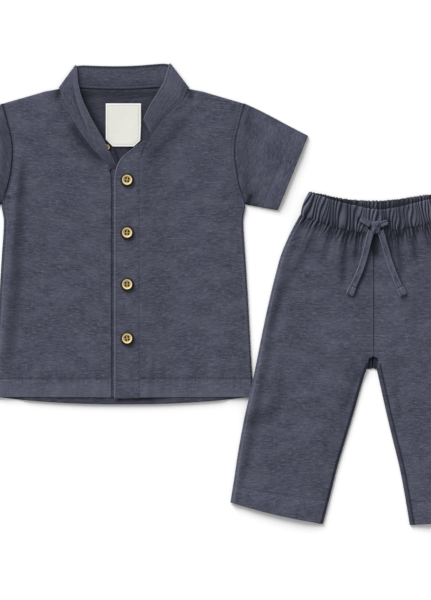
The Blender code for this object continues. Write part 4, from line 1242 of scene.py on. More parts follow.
def gather(x, v=0.0):
    """Height of the gathers from 0 to 1. They are uneven in depth, and some split in two further up."""
    turn, t = gather_turn(x)
    depth = 0.78 + 0.14 * np.sin(17.0 * t + 0.7) + 0.12 * np.sin(53.0 * t + 2.2 * v)
    broad = np.abs(np.sin(math.pi * turn)) ** 0.9
    split = np.abs(np.sin(math.pi * (2.0 * turn + 0.25))) ** 0.9
    share = smooth(0.5 + 0.8 * np.sin(23.0 * t + 2.6 * v))
    return np.clip(depth * (broad * (0.6 + 0.4 * share) + 0.4 * (1.0 - share) * split), 0.0, 1.0)


def lit_side_highlight(x, v):
    """A painted highlight: a thin line along the side of each gather that faces the light."""
    turn, t = gather_turn(x)
    beside = np.abs((turn - 0.27 + 0.5) % 1.0 - 0.5)
    return hump(beside, 0.17) * (0.55 + 0.45 * np.sin(29.0 * t + 3.0 * v))


def small_gather(x):
    """The finer crinkle right at the sewn line."""
    turn, t = gather_turn(x)
    return 0.5 + 0.5 * np.sin(2.0 * math.pi * (1.36 * turn + 0.3 * np.sin(23.0 * t)))


def waist_height(x):
    return np.interp(x, [row[0] for row in WAISTBAND], [row[1] for row in WAISTBAND])


print("gathers at the centre:", gather(np.array([-2.0, 0.0, 2.0])).round(2))

# %% [markdown]
# Each half of the waistband is a grid with a column every 0.6 mm or so, fine enough for the crinkles. The
# front lies over the back. The back's inner face shows above it as a narrow darker strip, in a darker copy of
# the jersey and with a painted shadow under the front's top edge. The valleys carry painted shade, the side
# and crest of each gather that faces the light carry a painted highlight, and the two eyelets are dark spots.

# %% Waistband
BAND_ACROSS = (
    0.0, 0.01, 0.03, 0.06, 0.10, 0.16, 0.24, 0.33, 0.43, 0.54, 0.65, 0.75, 0.83, 0.89, 0.93, 0.96, 0.985, 1.0,
)
BAND_TALL = 26.0
BAND_COLUMNS = 300
FRONT_TOP = 2
BACK_EDGE = 4
EYELETS = ((-16.2, 336.0), (15.8, 333.6))


def lean_of_gathers(rows, v):
    """Where along the waist each point's gather starts: gathers lean and wander on their way up."""
    slant = np.clip((rows[:, 0] + 60.0) / 100.0, -0.25, 1.0)
    wander = 1.8 * np.sin(rows[:, 0] * 0.11) + 2.4 * (0.2 - slant)
    return rows[:, 0] + wander * v + 1.1 * np.sin(4.0 * v + rows[:, 0] * 0.31)


def band_tones(rows, v, at_waist, end, tone):
    """Painted highlight and painted shade on the gathers of the waistband."""
    up = v * BAND_TALL
    folds = gather(at_waist, v)
    fine = small_gather(at_waist + 2.0 * v)
    slope = np.gradient(folds, axis=1) / np.gradient(rows[:, 0])
    # Painted highlight on the lit side and crest of each gather and on the crinkle; the pale top edge is wear
    # and highlight.
    lit = (0.1 + 0.7 * smooth(slope * 3.0)) * np.clip((folds - 0.45) / 0.3, 0, 1)
    crest_highlight = 1.5 * lit_side_highlight(at_waist, v) + 0.3 * np.clip((folds - 0.72) / 0.1, 0, 1)
    pale = 0.6 * hump(BAND_TALL - up, 1.0) + (lit + crest_highlight) * end
    pale = pale + 0.9 * np.clip(fine * hump(up, 7.0) - 0.4, 0, 1) * hump(up - 2.4, 2.6)
    # Painted shade in the valleys and in the crinkle near the sewn line.
    dark = tone * np.clip(1.0 - folds / 0.8, 0, 1) ** 0.8 * end + 0.6 * (1 - fine) * hump(up - 0.5, 4.5)
    return pale, dark


def waistband(name, top, low, wall, height, material, tone):
    """One half of the waistband; top is the column of the plan that its upper edge starts at."""
    last = len(WAISTBAND) - 1
    along = np.linspace(0, last, BAND_COLUMNS)
    rows = sections(WAISTBAND, along)
    v = np.array(BAND_ACROSS)[:, None]
    at_waist = lean_of_gathers(rows, v)
    folds = gather(at_waist, v)
    belly = np.sin(math.pi * v)
    end = smooth(np.minimum(along, last - along) / 0.16)
    x = rows[:, 0] * (1 - v) + rows[:, top] * v + 2.0 * (hump(along - last, 0.9) - hump(along, 0.9)) * belly
    y = rows[:, 1] * (1 - v) + rows[:, top + 1] * v + 1.5 * (folds - 0.6) * end * v ** 6
    y = y - 0.9 * (small_gather(at_waist) - 0.5) * end * hump(v * BAND_TALL, 4.0)
    crinkle = small_gather(at_waist + 2.0 * v) * hump(v * BAND_TALL, 7.0)
    rim = hump(v * BAND_TALL, 0.5) + hump((1 - v) * BAND_TALL, 0.5)
    rise = height * folds * (0.3 + 0.7 * end) + crinkle * end
    upper = low + wall - 0.3 + 0.75 * belly ** 0.6 + rise - 0.3 * rim - 0.5 * (1 - end)
    outer = np.stack([x, y, upper], -1)
    inner = np.stack([x, y, np.minimum(low, upper - 0.5)], -1)
    cloth = np.stack([np.broadcast_to(v * BAND_TALL + 1300.0, x.shape), at_waist * 1.3], -1)
    pale, dark = band_tones(rows, v, at_waist, end, tone)
    # Painted shadow of the front's top edge on the back; on the front, dark spots at the eyelets.
    if top == BACK_EDGE:
        dark = dark + 0.7 * hump(y - rows[:, FRONT_TOP + 1] - 1.0, 2.6)
    else:
        for ex, ey in EYELETS:
            dark = dark + hump(np.hypot(x - ex, y - ey), 3.2)
    cloth_shell = shell(outer, inner, cloth, np.broadcast_to(pale, x.shape), dark)
    return object_of(name, [cloth_shell], TROUSERS_AT, material), outer


band_back, _ = waistband("waistband_back_cloth", BACK_EDGE, 0.0, 1.3, 1.8, JERSEY_BACK_BAND, 1.5)
band_front, band_points = waistband("waistband_front_cloth", FRONT_TOP, 3.0, 1.7, 2.5, JERSEY, 1.2)
print("waistband columns:", band_points.shape[1])

# %% [markdown]
# A leg hangs in soft troughs from its waist. Each is a given line of points, with a half width, a depth
# and a tone, and no two are alike. The right leg also climbs over the shirt's corner. At the crotch the inner
# edge steps aside, and the hem bows down a little.

# %% Shape of the legs
LEG_LIFT = 4.0
LIFT_AT = (-136.0, 148.0)
LIFT_FLAT = 22.0
LIFT_EASE = 22.0
LEG_HEM = 22.0
LEG_COLUMN_STEP = 1.25
CENTRE_LAP = 0.7
HEM_BOW = 2.0
# The tone of each trough is painted shade along it.
TROUGHS = (
    (((-63, 321), (-71, 301), (-82, 283), (-94, 264), (-108, 232), (-115, 205)), 6.5, 1.3, 0.34),
    (((-48, 322), (-51, 300), (-58, 284)), 4.0, 0.9, 0.28),
    (((-29, 330), (-31, 300), (-34, 258)), 4.5, 1.6, 0.6),
    (((-17, 332), (-18, 310), (-20, 286)), 3.5, 1.3, 0.7),
    (((2, 332), (2, 310), (2.2, 291)), 3.8, 0.8, 1.5),
    (((17, 324), (19, 308), (21, 292)), 3.2, 1.0, 0.34),
    (((27, 330), (28, 302), (32, 268)), 4.5, 1.4, 0.55),
    (((45, 334), (45, 308), (47, 286)), 4.0, 1.3, 0.55),
    (((58, 330), (60, 312), (66, 294)), 4.0, 1.0, 0.34),
    (((72, 332), (80, 310), (92, 284), (102, 250), (108, 214)), 6.0, 1.2, 0.30),
    (((24.7, 160), (27, 135), (29, 108)), 4.5, 0.9, 0.24),
    (((-16, 170), (-24, 146), (-34, 118)), 4.5, 0.8, 0.18),
    (((-108, 200), (-121, 150), (-131, 96), (-140, 48)), 5.0, 0.6, 0.16),
    (((12.6, 317), (15.8, 306), (20.5, 290), (25.3, 276), (30.3, 264), (36, 250)), 2.6, 0.5, 0.62),
    (((-0.5, 317), (-2.6, 309), (-5.8, 296), (-10, 281), (-15.6, 267), (-22.5, 250)), 2.6, 0.5, 0.62),
)


def leg_lift(x, y):
    away = np.hypot(x - LIFT_AT[0], y - LIFT_AT[1])
    return LEG_LIFT * (1.0 - smooth((away - LIFT_FLAT) / LIFT_EASE))


def sag_waist(p, table):
    """Lets the top rows follow the curve of the waistband, and tucks them under it."""
    x0, y0, x1, y1 = table[0]
    at_waist = x0 + (x1 - x0) * p.u
    sag = waist_height(at_waist) + 1.5 - (y0 + (y1 - y0) * p.u)
    p.y = p.y + sag * np.clip(1.0 - p.rows / 2.0, 0.0, 1.0)
    return at_waist


def notch(p, reach):
    """Cuts the crotch square, where the inner edge steps aside, and bows the hem down a little."""
    step = smooth((p.rows - CROTCH - 0.02) / 0.12) * (1.0 - smooth((p.rows - CROTCH - 0.1) / 0.9))
    p.x = p.x + reach * step * smooth((p.u - 0.9) / 0.1)
    p.y = p.y - HEM_BOW * np.sin(math.pi * p.u) * smooth((p.rows - 12.5) / 1.5)


print("troughs:", len(TROUGHS))

# %% [markdown]
# A leg's front lies on its back and swells like the shirt. Gathers run down from the waist and each stops at
# its own length, and the fine crinkle leans a little on its way down. The inseam lies 2 mm inside the edge
# of the right leg and 4.8 mm inside that of the left. The hems are turned and stitched. A leg's back is
# plain, and its inner face shows only at the crotch, as a small dark patch of painted shade.

# %% Legs
INSEAM_RIGHT = 2.0
INSEAM_LEFT = 4.8
CROTCH_STEP = 4.2
CROTCH_DARK = 0.76
BACK_CROTCH = {1.0: ((-1.4, 172.9), (-9.0, 172.4)), -1.0: ((-1.4, 172.9), (5.4, 172.4))}


def below_crotch(rows):
    return smooth((rows - CROTCH - 0.4) / 0.5)


def leg_height(p, whole, down, folds, fade, crinkle, troughs):
    """Height of the underside of a leg's front."""
    away = np.minimum(p.a, p.b + 3.0 * whole)
    under = LAYER + 1.7 * smooth(away / 26.0) * smooth(p.rows / 1.5)
    under += (relief(p.x, p.y, TROUSER_FOLDS) + ease(p.x, p.y, 15.0, 0.9, 7.0)) * smooth(away / 12.0)
    under += 1.4 * hump(p.a - 5.0, 4.5) * smooth(p.rows / 1.5) + turned(p.high, LEG_HEM) * 0.4
    under += 1.6 * (1.0 - smooth(down / 34.0)) - roll(away) * smooth(p.rows / 0.5)
    for at, depth, _ in troughs:
        under -= depth * at * (0.3 + 0.7 * smooth(down / 8.0))
    return np.maximum(under, LOWEST) + leg_lift(p.x, p.y) + 1.5 * folds * fade + 0.8 * crinkle


def leg_tones(p, inseam, whole, down, folds, fade, fine, troughs):
    """Painted highlight and painted shade on a leg's front."""
    valley = np.clip(1.0 - folds / 0.75, 0, 1)
    # Painted shade: crotch, inseam, centre, outer side, gather valleys, crinkle and troughs.
    dark = 0.34 * (1.0 - smooth((CROTCH + 0.8 - p.rows) / 0.6)) * hump(p.b - 1.2, 1.6)
    dark += 0.9 * below_crotch(p.rows) * hump(p.b - inseam, 1.0) + whole * hump(p.b - 0.3, 0.75)
    dark += 0.2 * hump(p.a - 11.0, 4.0) * smooth(p.rows / 2.0) * (1.0 - smooth((p.rows - 12.0) / 1.5))
    dark += valley * (0.5 * fade * hump(down, 26.0) + 0.9 * hump(down, 14.0))
    dark += 1.2 * (1 - fine) * hump(down - 1.0, 8.0) + sum(tone * at for at, _, tone in troughs)
    # Painted highlight on the outer ridge, the gather crests and the crinkle; wear and highlight at the hem
    # edge.
    pale = 0.7 * hump(p.a - 3.4, 0.9) * smooth(p.rows / 2.0) + 0.4 * hump(p.high, 0.8)
    pale += 0.5 * np.clip((folds - 0.5) / 0.3, 0, 1) * hump(down - 4.0, 9.0)
    pale += 2.6 * np.clip(fine - 0.5, 0, 1) * hump(down - 3.0, 7.5)
    return pale, dark


def leg_front(name, table, inseam, side):
    lines = (
        ("a", 3.4, -0.3, 0.0, False),
        ("high", LEG_HEM, 0.35, 0.45, True),
        ("b", inseam, 0.3, 0.85, False),
    )
    lapped = [(ax, ay, bx if i > CROTCH else CENTRE_LAP / 2 * -side, by)
              for i, (ax, ay, bx, by) in enumerate(table)]
    p = Panel(lapped, lines, step=LEG_COLUMN_STEP, at=TROUSERS_AT, keep={2: below_crotch})
    at_waist = sag_waist(p, table)
    notch(p, CROTCH_STEP * side)
    p.cloth = knit(p.x, p.y, -2.0 * side)
    whole = 1.0 - smooth(p.rows - CROTCH - 0.9)
    down = np.clip(waist_height(at_waist) - p.y, 0.0, None)
    reach = 34.0 * (0.65 + 0.45 * np.sin(at_waist * 0.37) + 0.25 * np.sin(at_waist * 1.31 + 2.0))
    fade = 1.0 - smooth(down / np.maximum(reach, 12.0))
    folds = gather(at_waist)
    crinkle = small_gather(at_waist) * hump(down, 9.0)
    troughs = [(trail(p.x, p.y, points, half_width), depth, tone)
               for points, half_width, depth, tone in TROUGHS]
    under = leg_height(p, whole, down, folds, fade, crinkle, troughs)
    leaning = small_gather(at_waist + 0.25 * down)
    pale, dark = leg_tones(p, inseam, whole, down, folds, fade, leaning, troughs)
    # Painted highlight: a pale line beside the centre seam of the right leg.
    if side < 0:
        pale += 0.35 * whole * hump(p.b - 1.9, 0.7)
    return object_of(name, [p.build(under, dark=dark, pale=pale, flush=("b",))], TROUSERS_AT, JERSEY), p


def leg_back(name, table, side):
    rows = [list(row) for row in table]
    for row in rows[:CROTCH]:
        row[2] = 0.0
    for i, spot in enumerate(BACK_CROTCH[side]):
        rows[CROTCH + i][2:4] = spot
    p = Panel(rows, (), step=3.0, at=TROUSERS_AT)
    sag_waist(p, table)
    ends = sections(rows, p.v)
    squeeze = (TUCK / p.width[:, None]) * ((1 - p.u) - smooth((p.rows - CROTCH) / 0.5) * p.u)
    p.x = p.x + squeeze * (ends[:, 2] - ends[:, 0])[:, None]
    p.cloth = knit(p.x, p.y, 0.0)
    # Painted shade: the crotch patch of the back is near black.
    dark = CROTCH_DARK * smooth((16.0 - np.abs(p.x + 1.5)) / 5.0)
    dark = dark * smooth((p.y - 160.0) / 6.0) * smooth((200.0 - p.y) / 6.0)
    under = 0.94 * leg_lift(p.x, p.y)
    return object_of(name, [p.build(under, dark=dark, flush=("b",))], TROUSERS_AT, JERSEY_INSIDE_SHADED), p


leg_front_right, panel_leg_right = leg_front("trouser_front_right_cloth", LEG_RIGHT, INSEAM_RIGHT, -1)
leg_front_left, panel_leg_left = leg_front("trouser_front_left_cloth", LEG_LEFT, INSEAM_LEFT, 1)
leg_back_right, panel_back_right = leg_back("trouser_back_right_cloth", LEG_RIGHT, 1.0)
leg_back_left, panel_back_left = leg_back("trouser_back_left_cloth", LEG_LEFT, -1.0)
print("leg fronts:", panel_leg_right.x.shape, panel_leg_left.x.shape)

# %% [markdown]
# The drawcord is a flat jersey tape. Each tail starts under the knot and lies down the front of the trousers
# to a square turned end. The route of each tail is a given list of points, and the tape rests just above
# the cloth under it, which is looked up in the leg's own grid.

# %% Drawcord routes
TAPE_WIDTH = 6.8
TAPE_WALL = 1.6
LEAD_LEFT = ((15.4, 333.0), (11.4, 331.8), (7.2, 329.6))
LEAD_RIGHT = ((-15.2, 336.2), (-9.4, 333.6), (-3.2, 329.8))
KNOT_AT = (2.2, 327.4)
KNOT_SIZE = (5.4, 7.4, 2.5)
TAIL_LEFT = (
    (7.0, 323.4), (8.6, 319.2), (11.8, 308.6), (16.5, 292.3),
    (21.3, 278.3), (26.3, 266.3), (28.6, 261.4),
)
TAIL_RIGHT = (
    (-2.6, 323.4), (-4.0, 319.6), (-6.2, 311.0), (-9.5, 297.9),
    (-13.8, 283.1), (-19.4, 269.8), (-22.8, 262.2),
)
TAB_LENGTH = 10.0
TAB_WIDTH = 8.4
TAB_WALL = 2.1
LEAD_WIDTH = 5.8
LEAD_WALL = 3.0
BAND_TOP = 7.4
UNDER_TAPE = (3.6, 2.0)


def cloth_height(x, y):
    """Highest point of the trouser fronts within a few millimetres."""
    best = 0.0
    for p in (panel_leg_right, panel_leg_left):
        near = (np.abs(p.x - x) < UNDER_TAPE[0]) & (np.abs(p.y - y) < UNDER_TAPE[1])
        if near.any():
            best = max(best, float(p.z[near].max()))
    return best


def route(points, count, height):
    """A smooth route through given points, with its height at each step."""
    flat = sections(points, np.linspace(0, len(points) - 1, count))
    raw = np.array([height(x, y) for x, y in flat])
    padded = np.pad(raw, 2, mode="edge")
    soft = np.array([padded[i:i + 5].max() for i in range(len(raw))])
    return np.column_stack([flat, soft])


def on_cloth(x, y):
    return cloth_height(x, y) + 1.0 + TAPE_WALL / 2.0


def on_band(_x, _y):
    return BAND_TOP + 0.2 + TAPE_WALL / 2.0


print("cloth under the left tail:", round(cloth_height(*TAIL_LEFT[2]), 2), "mm high")

# %% [markdown]
# The tape's cross section is a rounded strip with a raised ridge along each edge, where the folded tape is
# sewn. It is swept along the route. Its UV map runs along the tape, as the knit does.

# %% Sweep the tape
# Each point is across, up and paleness; the paleness is wear and painted highlight on the ridges.
TAPE_SHAPE = (
    (-0.50, 0.00, 0.5), (-0.47, 0.34, 1.0), (-0.40, 0.50, 1.0), (-0.33, 0.42, 0.2), (-0.26, 0.30, 0.0),
    (0.0, 0.34, 0.0), (0.26, 0.30, 0.0), (0.33, 0.42, 0.2), (0.40, 0.50, 1.0), (0.47, 0.34, 1.0),
    (0.50, 0.00, 0.5), (0.42, -0.42, 0.0), (0.0, -0.5, 0.0), (-0.42, -0.42, 0.0),
)


def tape(name, path, width=TAPE_WIDTH, wall=TAPE_WALL, wear_and_highlight=0.8):
    """A flat tape along a path, as a closed tube."""
    ahead = np.gradient(path, axis=0)
    across = np.column_stack([-ahead[:, 1], ahead[:, 0], np.zeros(len(path))])
    across /= np.linalg.norm(across, axis=1, keepdims=True)
    shape = np.array(TAPE_SHAPE)
    taper = np.ones(len(path))
    taper[[0, -1]] = 0.86
    rings = (path[:, None, :] + across[:, None, :] * (shape[None, :, 0:1] * width * taper[:, None, None])
             + np.array([0, 0, 1.0]) * (shape[None, :, 1:2] * wall * taper[:, None, None]))
    n, m = rings.shape[:2]
    index = np.arange(n * m).reshape(n, m)
    after = np.roll(index, -1, axis=1)
    quads = np.stack([index[:-1], after[:-1], after[1:], index[1:]], -1).reshape(-1, 4).tolist()
    faces = quads + [index[0].tolist()[::-1], index[-1].tolist()]
    mesh = bpy.data.meshes.new(name)
    mesh.from_pydata(((rings.reshape(-1, 3) + TROUSERS_AT) * MM).tolist(), [], faces)
    length = np.concatenate([[0], np.cumsum(np.linalg.norm(np.diff(path, axis=0), axis=1))])
    # The raised ridges are pale, from wear and painted highlight; the grooves inside them get painted shade.
    groove = np.clip(1.0 - np.abs(np.abs(shape[:, 0]) - 0.30) / 0.06, 0, 1) * (shape[:, 1] > 0)
    lay_cloth(mesh, np.stack([np.repeat(length, m), np.tile(np.arange(m) * 1.1 + 2000.0, n)], -1) * MM)
    store(mesh, edge=np.tile(shape[:, 2] * wear_and_highlight, n), seam=np.tile(groove * 0.55, n))
    mesh.shade_smooth()
    mesh.materials.append(JERSEY_TAPE)
    face_outwards(mesh)
    return add_object(name, mesh), float(length[-1])


def tab_route(tail):
    """The turned end goes on from the tail in a straight line."""
    (x0, y0), (x1, y1) = tail[-2:]
    reach = math.hypot(x1 - x0, y1 - y0)
    step = ((x1 - x0) / reach, (y1 - y0) / reach)
    return [(x1 + step[0] * d, y1 + step[1] * d) for d in (0.3, TAB_LENGTH / 2, TAB_LENGTH)]


tails, tabs, leads, tail_paths = {}, {}, {}, {}
for side, lead, tail in (("left", LEAD_LEFT, TAIL_LEFT), ("right", LEAD_RIGHT, TAIL_RIGHT)):
    tail_paths[side] = route(tail, 30, on_cloth)
    tails[side] = tape(f"drawcord_{side}", tail_paths[side])
    tabs[side] = tape(f"drawcord_tab_{side}", route(tab_route(tail), 6, on_cloth), TAB_WIDTH, TAB_WALL)
    leads[side] = tape(f"drawcord_lead_{side}", route(lead, 8, on_band), LEAD_WIDTH, LEAD_WALL, 0.5)
print("tails:", {k: round(v[1]) for k, v in tails.items()}, "mm")

# %% [markdown]
# The knot is an overhand knot in soft tape, pulled tight: a rounded lump with a broad turn over its front and
# folds that run into the two leads and the two tails. A sphere is pressed into that form, with slanting
# grooves between the turns.

# %% Knot
KNOT_TURNS = 3.0


def knot():
    bm = bmesh.new()
    bmesh.ops.create_uvsphere(bm, u_segments=56, v_segments=36, radius=1.0)
    layer = bm.loops.layers.uv.new("cloth")
    middle = Vector((*KNOT_AT, BAND_TOP + KNOT_SIZE[2] - 0.2)) + Vector(TROUSERS_AT)
    seams = {}
    for vert in bm.verts:
        x, y, z = vert.co
        ridge = abs(math.cos((KNOT_TURNS * math.atan2(z, x) + 2.6 * y) / 2.0)) ** 0.6
        square = 1.0 - 0.12 * math.cos(4.0 * math.atan2(y, x))
        swell = (0.84 + 0.2 * ridge) * square
        narrow = 1.0 - 0.16 * max(0.0, -y)
        # Painted shade in the grooves between the turns.
        seams[vert.index] = max(0.0, 0.68 - ridge) * 1.9
        size = Vector((narrow * KNOT_SIZE[0], KNOT_SIZE[1], KNOT_SIZE[2])) * swell
        vert.co = (vert.co * size + middle) * MM
    for face in bm.faces:
        for loop in face.loops:
            loop[layer].uv = (loop.vert.co.y, loop.vert.co.x + 3.0)
    mesh = bpy.data.meshes.new("knot_cloth")
    bm.to_mesh(mesh)
    bm.free()
    store(mesh, edge=np.zeros(len(seams)), seam=[seams[i] for i in range(len(seams))])
    mesh.shade_smooth()
    mesh.materials.append(JERSEY_TAPE)
    return add_object("knot_cloth", mesh)


knot_cloth = knot()
print("knot:", len(knot_cloth.data.vertices), "points")

# %% [markdown]
# The label is woven ribbon, 39 by 48 mm, with its two lower corners cut off. It is finished all round with a
# pale folded edge and carries no mark.

# %% Label
LABEL_TABLE = (
    (-11.6, 275.8, 11.6, 275.8),
    (-19.4, 283.6, 18.6, 282.4),
    (-19.4, 300.0, 19.4, 300.0),
    (-19.4, 323.3, 19.4, 323.3),
)
LABEL_LOW = 275.8
LABEL_HIGH = 323.3
LABEL_WIDE = 38.8
LABEL_BASE = 2.1
LABEL_TOP = 3.0
NEAR_TOP = (2.7, 2.3, 1.9, 1.4, 0.8, 0.3, 0.0)
NEAR_SIDE = (0.0, 0.3, 0.8, 1.4, 1.9, 2.3, 2.7, 3.3)


def label():
    last = LABEL_HIGH - 300.0
    rows = np.concatenate([np.linspace(0, 1, 14), np.linspace(1, 2, 12)[1:], 2 + np.linspace(0, 0.86, 12)[1:],
                           3 - np.array(NEAR_TOP) / last])
    table = np.array(LABEL_TABLE)
    ends = np.column_stack([np.interp(rows, range(4), table[:, k]) for k in range(4)])
    near = np.array(NEAR_SIDE) / LABEL_WIDE
    u = np.concatenate([near, np.linspace(0.12, 0.88, 18), 1.0 - near[::-1]])
    x = ends[:, 0:1] * (1 - u) + ends[:, 2:3] * u
    y = ends[:, 1:2] * (1 - u) + ends[:, 3:4] * u
    side = np.minimum(x - ends[:, 0:1], ends[:, 2:3] - x)
    rim = np.minimum(np.minimum(side, y - LABEL_LOW), LABEL_HIGH - y)
    top = LABEL_TOP + 0.2 * np.sin(x * 0.12 + 0.5) * np.cos(y * 0.09)
    top = top - 0.3 * hump(rim, 0.3) - 0.16 * hump(rim - 2.2, 0.4)
    outer = np.stack([x, y, top], -1)
    inner = np.stack([x, y, np.full_like(x, LABEL_BASE)], -1)
    ribbon_shell = shell(outer, inner, np.stack([x, y], -1), hump(rim - 0.9, 1.0), hump(rim - 2.3, 0.5))
    return object_of("label_ribbon", [ribbon_shell], SHIRT_AT, RIBBON)


label_ribbon = label()
print("label:", len(label_ribbon.data.vertices), "points")

# %% [markdown]
# A sew-through button is turned on a lathe: a profile is spun round the axis, then four holes are drilled
# with Boolean cutters. The cutters are removed again, and only the drilled mesh is kept.

# %% Turn and drill a button
BUTTON_PROFILE = (
    (0.0, 1.45), (0.30, 1.42), (0.44, 1.45), (0.51, 1.66), (0.57, 2.08), (0.63, 2.32), (0.70, 2.42),
    (0.745, 2.38), (0.785, 2.3), (0.83, 2.15), (0.89, 2.05), (0.94, 1.95), (0.985, 1.55), (1.0, 1.15),
    (0.98, 0.75), (0.92, 0.4), (0.82, 0.12), (0.7, 0.0), (0.0, 0.0),
)
BUTTON_STEPS = 56
BUTTON_GROWTH = 1.06
HOLE_OFFSET = 2.05
HOLE_RADIUS = 1.16
CUTTER_DEPTH = 12.0


def spun(profile, radius, count):
    """A closed turned mesh from a profile of (share of the radius, height)."""
    bm = bmesh.new()
    points = [bm.verts.new((share * radius, 0.0, height)) for share, height in profile]
    edges = [bm.edges.new(pair) for pair in zip(points, points[1:])]
    bmesh.ops.spin(bm, geom=points + edges, cent=(0, 0, 0), axis=(0, 0, 1), angle=2 * math.pi, steps=count,
                   use_merge=True)
    bmesh.ops.remove_doubles(bm, verts=bm.verts, dist=1e-5)
    bmesh.ops.recalc_face_normals(bm, faces=bm.faces)
    return bm


def turned_by(point, turn):
    """A point turned round the button's axis."""
    c, s = math.cos(turn), math.sin(turn)
    return Vector((point[0] * c - point[1] * s, point[0] * s + point[1] * c, point[2]))


def hole_middles(size, turn=0.0):
    """Where the four holes lie, in millimetres from the button's middle."""
    angles = [math.radians(45 + 90 * k) + turn for k in range(4)]
    return [Vector((math.cos(angle), math.sin(angle), 0)) * HOLE_OFFSET * size for angle in angles]


def cutter(middle, radius):
    """A round bar through the button."""
    bm = bmesh.new()
    bmesh.ops.create_cone(bm, cap_ends=True, segments=16, radius1=radius, radius2=radius, depth=CUTTER_DEPTH)
    for vert in bm.verts:
        vert.co += middle
    mesh = bpy.data.meshes.new("hole")
    bm.to_mesh(mesh)
    bm.free()
    obj = bpy.data.objects.new("hole", mesh)
    bpy.context.scene.collection.objects.link(obj)
    return obj


def drilled(bm, size):
    """The same mesh with four holes through it."""
    mesh = bpy.data.meshes.new("button_blank")
    bm.to_mesh(mesh)
    bm.free()
    blank = bpy.data.objects.new("button_blank", mesh)
    bpy.context.scene.collection.objects.link(blank)
    cutters = [cutter(middle, HOLE_RADIUS * size) for middle in hole_middles(size)]
    for bar in cutters:
        cut = blank.modifiers.new("hole", "BOOLEAN")
        cut.object = bar
        cut.operation = "DIFFERENCE"
    graph = bpy.context.evaluated_depsgraph_get()
    result = bpy.data.meshes.new_from_object(blank.evaluated_get(graph), depsgraph=graph)
    for extra in (blank, *cutters):
        bpy.data.objects.remove(extra, do_unlink=True)
    return result


print("holes at", [tuple(round(c, 2) for c in middle) for middle in hole_middles(1.0)])

# %% [markdown]
# Each button takes its place from its own solid, and no two are turned alike. The "rim" attribute stores the
# distance from the middle, and the horn material reads it. The walls of the holes get the near-black material
# that paints the shade in them.

# %% Buttons
COLLAR_BUTTON = "button_collar"
COLLAR_BUTTON_SIZE = 0.6
COLLAR_BUTTON_TURN = 0.4
BUTTON_TURN = 0.12
UPRIGHT = 0.3


def mark_holes(mesh, at, size, turn):
    """Gives the walls of the four holes the near-black material that paints the shade in them."""
    middles = hole_middles(size, turn)
    reach = HOLE_RADIUS * size * 1.03
    for face in mesh.polygons:
        spot = (face.center - at) / MM
        near = any(math.hypot(spot.x - middle.x, spot.y - middle.y) < reach for middle in middles)
        face.material_index = int(near and abs(face.normal.z) < UPRIGHT)


def button(name, node, size, turn):
    low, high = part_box(node)
    at = Vector(((low[0] + high[0]) / 2, (low[1] + high[1]) / 2, low[2]))
    radius = (high[0] - low[0]) / 2 / MM * BUTTON_GROWTH
    mesh = drilled(spun([(s, h * size) for s, h in BUTTON_PROFILE], radius, BUTTON_STEPS), size)
    store(mesh, rim=[math.hypot(vert.co.x, vert.co.y) / radius for vert in mesh.vertices])
    for vert in mesh.vertices:
        vert.co = turned_by(vert.co, turn) * MM + at
    mesh.name = name
    mesh.materials.clear()
    mesh.materials.append(HORN)
    mesh.materials.append(HOLE_SHADE)
    mark_holes(mesh, at, size, turn)
    mesh.shade_smooth()
    mesh.set_sharp_from_angle(angle=math.radians(40))
    return add_object(name, mesh), at, turn


buttons = {}
for k in range(4):
    node = f"button_{k + 1}"
    buttons[node] = button(f"horn_{node}", node, 1.0, BUTTON_TURN * (k - 1.5))
buttons[COLLAR_BUTTON] = button(
    f"horn_{COLLAR_BUTTON}", COLLAR_BUTTON, COLLAR_BUTTON_SIZE, COLLAR_BUTTON_TURN)
print("buttons:", len(buttons), "with", len(buttons["button_1"][0].data.polygons), "faces each")

# %% [markdown]
# Stitches repeat hundreds of times, so Geometry Nodes lay them. The tree takes lines, cuts each into steps of
# one stitch, and puts a small bead of thread on every step, turned along the line. Its inputs are
# named, and they are set by their identifiers before the object is first evaluated.

# %% The stitch tree
STITCH_PITCH = 0.0030
STITCH_LENGTH = 0.0022
THREAD_RADIUS = 0.00028


